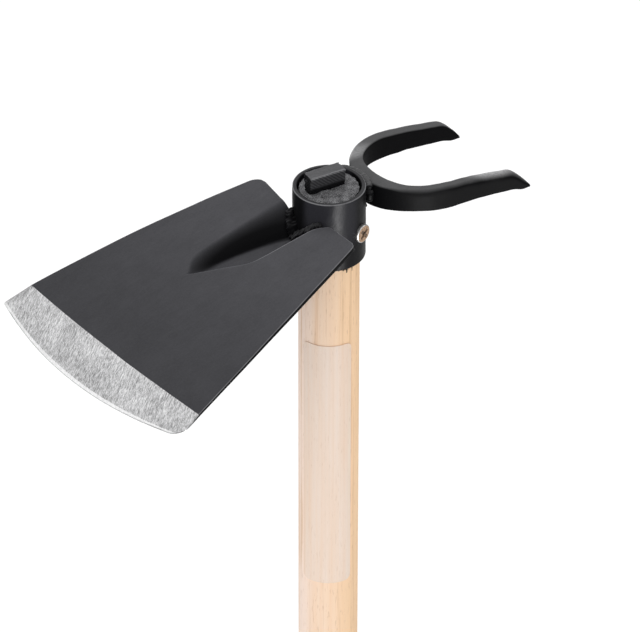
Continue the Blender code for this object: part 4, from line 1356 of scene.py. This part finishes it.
def fork_stations():
    """Centre, sideways direction and width of the bar, from one tip round to the other."""
    length = FORK_TIP_X - FORK_BEND_X
    tines = []
    for side in (-1, 1):
        centres = [(FORK_TIP_X - length * part, side * FORK_HALF_SPAN, 0) for part in parts(FORK_TINE_STEPS)]
        tines.append([(Vector(centre), Vector((0, side, 0)), FORK_TINE_WIDTH) for centre in centres[:-1]])
    bend = []
    quarter = 0.5 * pi
    for part in parts(FORK_BEND_STEPS):
        turn = pi * (part - 0.5)
        ahead = fork_centre(min(turn + FORK_RUN_STEP, quarter))
        behind = fork_centre(max(turn - FORK_RUN_STEP, -quarter))
        run = (ahead - behind).normalized()
        bend.append((fork_centre(turn), Vector((-run.y, run.x, 0)), fork_width(turn)))
    return tines[0] + bend + tines[1][::-1]


def fork_outline(centre, half_width, top, bottom):
    """Places sideways and up round the bar's section, with the near arm's outer edge well rounded."""
    sharp = min(FORK_CORNER, FORK_CORNER_SHARE * (top - bottom))
    near_arm = ease((FORK_ROUNDED_START_Y - centre.y) / FORK_ROUNDED_RUN)
    rounded = sharp + near_arm * (min(FORK_ROUNDED, FORK_ROUNDED_SHARE * (top - bottom)) - sharp)
    outline = []
    for across, up, start in ((1, 1, 0), (-1, 1, 90), (-1, -1, 180), (1, -1, 270)):
        corner = rounded if start == 0 else sharp
        sideways = across * (half_width - corner)
        z = (top - corner) if up > 0 else (bottom + corner)
        outline += [(sideways + x, z + y) for x, y in arc(corner, start, 90, FORK_CORNER_STEPS)]
    return outline


def fork_section(centre, side, width):
    """The bar's cross-section at one station: its flats in steps, and lumpy as forged."""
    top = RIM_Z - smooth_blend(centre.x, FORK_TOP)
    bottom = RIM_Z - smooth_blend(centre.x, FORK_BOTTOM)
    middle = Vector((centre.x, centre.y, 0.5 * (top + bottom)))
    outline = fork_outline(centre, 0.5 * width, top, bottom)
    ring = []
    for i, (sideways, z) in enumerate(outline):
        follow = outline[(i + 1) % len(outline)]
        steps = FORK_FLAT_STEPS if i % (FORK_CORNER_STEPS + 1) == FORK_CORNER_STEPS else 1
        for part in parts(steps)[:-1]:
            point = centre + side * (sideways + part * (follow[0] - sideways))
            point.z = z + part * (follow[1] - z)
            ring.append(point + (point - middle).normalized() * uneven(point, FORGED_LUMPS))
    return ring


def make_fork():
    rings = [fork_section(*station) for station in fork_stations()]
    dress(add_mesh("fork_bar", loft(rings), (fork_material(),), sharp=50), "black_paint", "fork")


# Weld beads


def bead_ring(point, out, other, size, lump, seed):
    """One lumpy ring round a bead's path, kept out of the collar's bore."""
    ring = []
    for x, y in circle(1, BEAD_SIDES):
        way = out * x + other * y
        skin_point = point + size * way
        skin_point += way * lump * uneven(skin_point, WELD_LUMPS, seed)
        flat = Vector((skin_point.x, skin_point.y, 0))
        if flat.length < BEAD_DEEPEST:
            flat = flat.normalized() * BEAD_DEEPEST
        ring.append(Vector((flat.x, flat.y, skin_point.z)))
    return ring


def lumpy_bead(path, radius, upright, lumps, seed):
    """A run of weld: ripples and lumps on a bead that sinks into the collar's wall."""
    rings = []
    travelled = 0.0
    up = Vector(UP)
    for i, point in enumerate(path):
        travelled += (point - path[max(i - 1, 0)]).length
        out = Vector((point.x, point.y, 0)).normalized()
        other = up.cross(out) if upright else up
        full = abs(sin(pi * i / (len(path) - 1))) ** BEAD_END_POWER
        ripple = 1 + BEAD_RIPPLE * sin(2 * pi * travelled / BEAD_PITCH)
        size = radius * (BEAD_END_SIZE + (1 - BEAD_END_SIZE) * full) * ripple
        rings.append(bead_ring(point, out, other, size, lumps * radius, seed))
    return loft(rings)


def collar_arc(off, middle, half_span):
    """Points round the collar in plan, off it by a little, with angles in degrees."""
    places = arc(COLLAR_RADIUS + off, middle - half_span, 2 * half_span, ARC_BEAD_STEPS)
    return [Vector((x, y, 0)) for x, y in places]


def blade_path(lift, half_span):
    """Points along the corner between the collar and the blade, lifted square off the blade."""
    path = []
    for foot in collar_arc(BLADE_BEAD_OFF, BLADE_BEAD_MIDDLE, half_span):
        pressed = Vector((foot.x, foot.y, blade_height(foot.x, foot.y)))
        lifted = pressed + blade_normal(foot.x, foot.y) * lift
        point = Vector((lifted.x, lifted.y, 0)).normalized() * (COLLAR_RADIUS + BLADE_BEAD_OFF)
        point.z = lifted.z
        path.append(point)
    return path


def fork_path(column, lift, half_span):
    """Points along the corner between the collar and the fork's upper or lower face."""
    path = collar_arc(FORK_ARC_OFF, 0.0, half_span)
    for point in path:
        point.z = RIM_Z - blend(FORK_PROFILE, point.x, column) + lift
    return path


def side_path(side):
    """Points up the groove between the collar and one side of the fork's bend."""
    out = Vector((cos(FORK_SIDE_TURN), side * sin(FORK_SIDE_TURN), 0))
    groove = out * (COLLAR_RADIUS + FORK_SIDE_OFF)
    rise = FORK_SIDE_HIGH_Z - FORK_SIDE_LOW_Z
    return [Vector((groove.x, groove.y, FORK_SIDE_LOW_Z + rise * part)) for part in parts(SIDE_BEAD_STEPS)]


def make_welds():
    paint, bright_lit = weld_material(), bright_lit_weld_material()
    upper = blade_path(UPPER_BEAD_LIFT, UPPER_BEAD_SPAN)
    under = blade_path(-BLADE_REAR_THICKNESS - UNDER_BEAD_LIFT, UNDER_BEAD_SPAN)
    above = fork_path(FORK_TOP, FORK_UPPER_LIFT, FORK_UPPER_SPAN)
    below = fork_path(FORK_BOTTOM, FORK_UNDER_LIFT, FORK_UNDER_SPAN)
    beads = (
        ("weld_blade_top", "blade_weld_upper", paint, upper, UPPER_BEAD_RADIUS, False, BLADE_BEAD_LUMPS),
        ("weld_blade_below", "blade_weld_under", paint, under, UNDER_BEAD_RADIUS, False, 1.0),
        ("weld_fork_top", "fork_weld_upper", bright_lit, above, FORK_ARC_RADIUS, False, 1.0),
        ("weld_fork_below", "fork_weld_under", paint, below, FORK_UNDER_RADIUS, False, 1.0),
        ("weld_fork_side_a", "fork_weld_left", paint, side_path(1), FORK_SIDE_RADIUS, True, 1.0),
        ("weld_fork_side_b", "fork_weld_right", paint, side_path(-1), FORK_SIDE_RADIUS, True, 1.0),
    )
    for index, (name, node_name, finish, path, radius, upright, lumps) in enumerate(beads):
        bm = lumpy_bead(path, radius, upright, lumps, BEAD_SEED * (index + 1))
        dress(add_mesh(name, bm, (finish,), sharp=70), "black_paint", node_name)


# Floor, world, lamps and camera


def make_floor():
    mat, tree = new_material("studio_floor")
    tree.nodes.remove(tree.nodes["Principled BSDF"])
    diffuse = node(tree, "BsdfDiffuse", {"Color": FLOOR_COLOUR})
    seen = node(tree, "LightPath").outputs["Is Camera Ray"]
    glow = node(tree, "Emission", {"Strength": times(tree, seen, FLOOR_GLOW)})
    both = node(tree, "AddShader", {0: diffuse.outputs[0], 1: glow.outputs[0]})
    tree.links.new(both.outputs[0], tree.nodes["Material Output"].inputs["Surface"])
    bm = bmesh.new()
    bm.faces.new([bm.verts.new((x * FLOOR_HALF, y * FLOOR_HALF, 0)) for x, y in SQUARE])
    add_mesh("studio_ground", bm, (mat,))


def make_world():
    """Even white light, plain white to the camera and in what reflects or passes it."""
    world = bpy.data.worlds.new("studio")
    bpy.context.scene.world = world
    world.use_nodes = True
    tree = world.node_tree
    rays = node(tree, "LightPath").outputs
    seen = calc(tree, "MAXIMUM", rays["Is Camera Ray"], rays["Is Glossy Ray"], rays["Is Transmission Ray"])
    background = tree.nodes["Background"].inputs
    feed(tree, background["Color"], (1, 1, 1))
    feed(tree, background["Strength"], span(tree, seen, 0.0, 1.0, WORLD_LIGHT, BACKGROUND_WHITE))


def add_lamp(name, kind, way, distance, strength, **settings):
    """A lamp that shines from a direction onto the hoe's head."""
    data = bpy.data.lights.new(name, kind)
    data.energy = strength
    for key, value in settings.items():
        setattr(data, key, value)
    lamp = bpy.data.objects.new(name, data)
    bpy.context.scene.collection.objects.link(lamp)
    away = Vector(way).normalized()
    lamp.location = Vector((0, 0, RIM_Z)) + away * distance
    lamp.rotation_euler = away.to_track_quat("Z", "Y").to_euler()
    lamp.visible_camera = False
    return lamp


def make_lights():
    """Three broad suns, and a strip that shows only as a gleam."""
    for name, way, strength, degrees in SUNS:
        add_lamp(name, "SUN", way, SUN_DISTANCE, strength, angle=radians(degrees))
    width, height = STRIP_SIZE
    strip = add_lamp("strip", "AREA", STRIP_WAY, STRIP_DISTANCE, STRIP_POWER,
                     shape="RECTANGLE", size=width, size_y=height)
    strip.visible_diffuse = False


def make_camera():
    """The camera, turned by azimuth, elevation and roll, and aimed a little off the collar's rim."""
    azimuth = Matrix.Rotation(CAMERA_AZIMUTH, 4, "Z")
    turned = azimuth @ Matrix.Rotation(0.5 * pi - CAMERA_ELEVATION, 4, "X")
    eye = Vector((0, 0, RIM_Z)) + turned @ Vector((AIM_RIGHT, AIM_UP, CAMERA_DISTANCE))
    data = bpy.data.cameras.new("photo_camera")
    data.sensor_width = SENSOR_WIDTH
    data.lens = SENSOR_WIDTH * FOCAL_PIXELS / IMAGE_WIDTH
    camera = bpy.data.objects.new("photo_camera", data)
    bpy.context.scene.collection.objects.link(camera)
    camera.matrix_world = Matrix.Translation(eye) @ turned @ Matrix.Rotation(CAMERA_ROLL, 4, "Z")
    bpy.context.scene.camera = camera


def dress_film():
    """The label's film keeps its solid from the model, in a clear material."""
    film = film_material()
    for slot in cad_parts["label_film"].material_slots:
        slot.material = film


make_camera()
make_world()
make_floor()
make_lights()
make_handle()
make_wedge()
make_collar()
make_screw()
make_blade()
make_fork()
make_welds()
dress_film()
bpy.context.scene.view_settings.view_transform = "Standard"
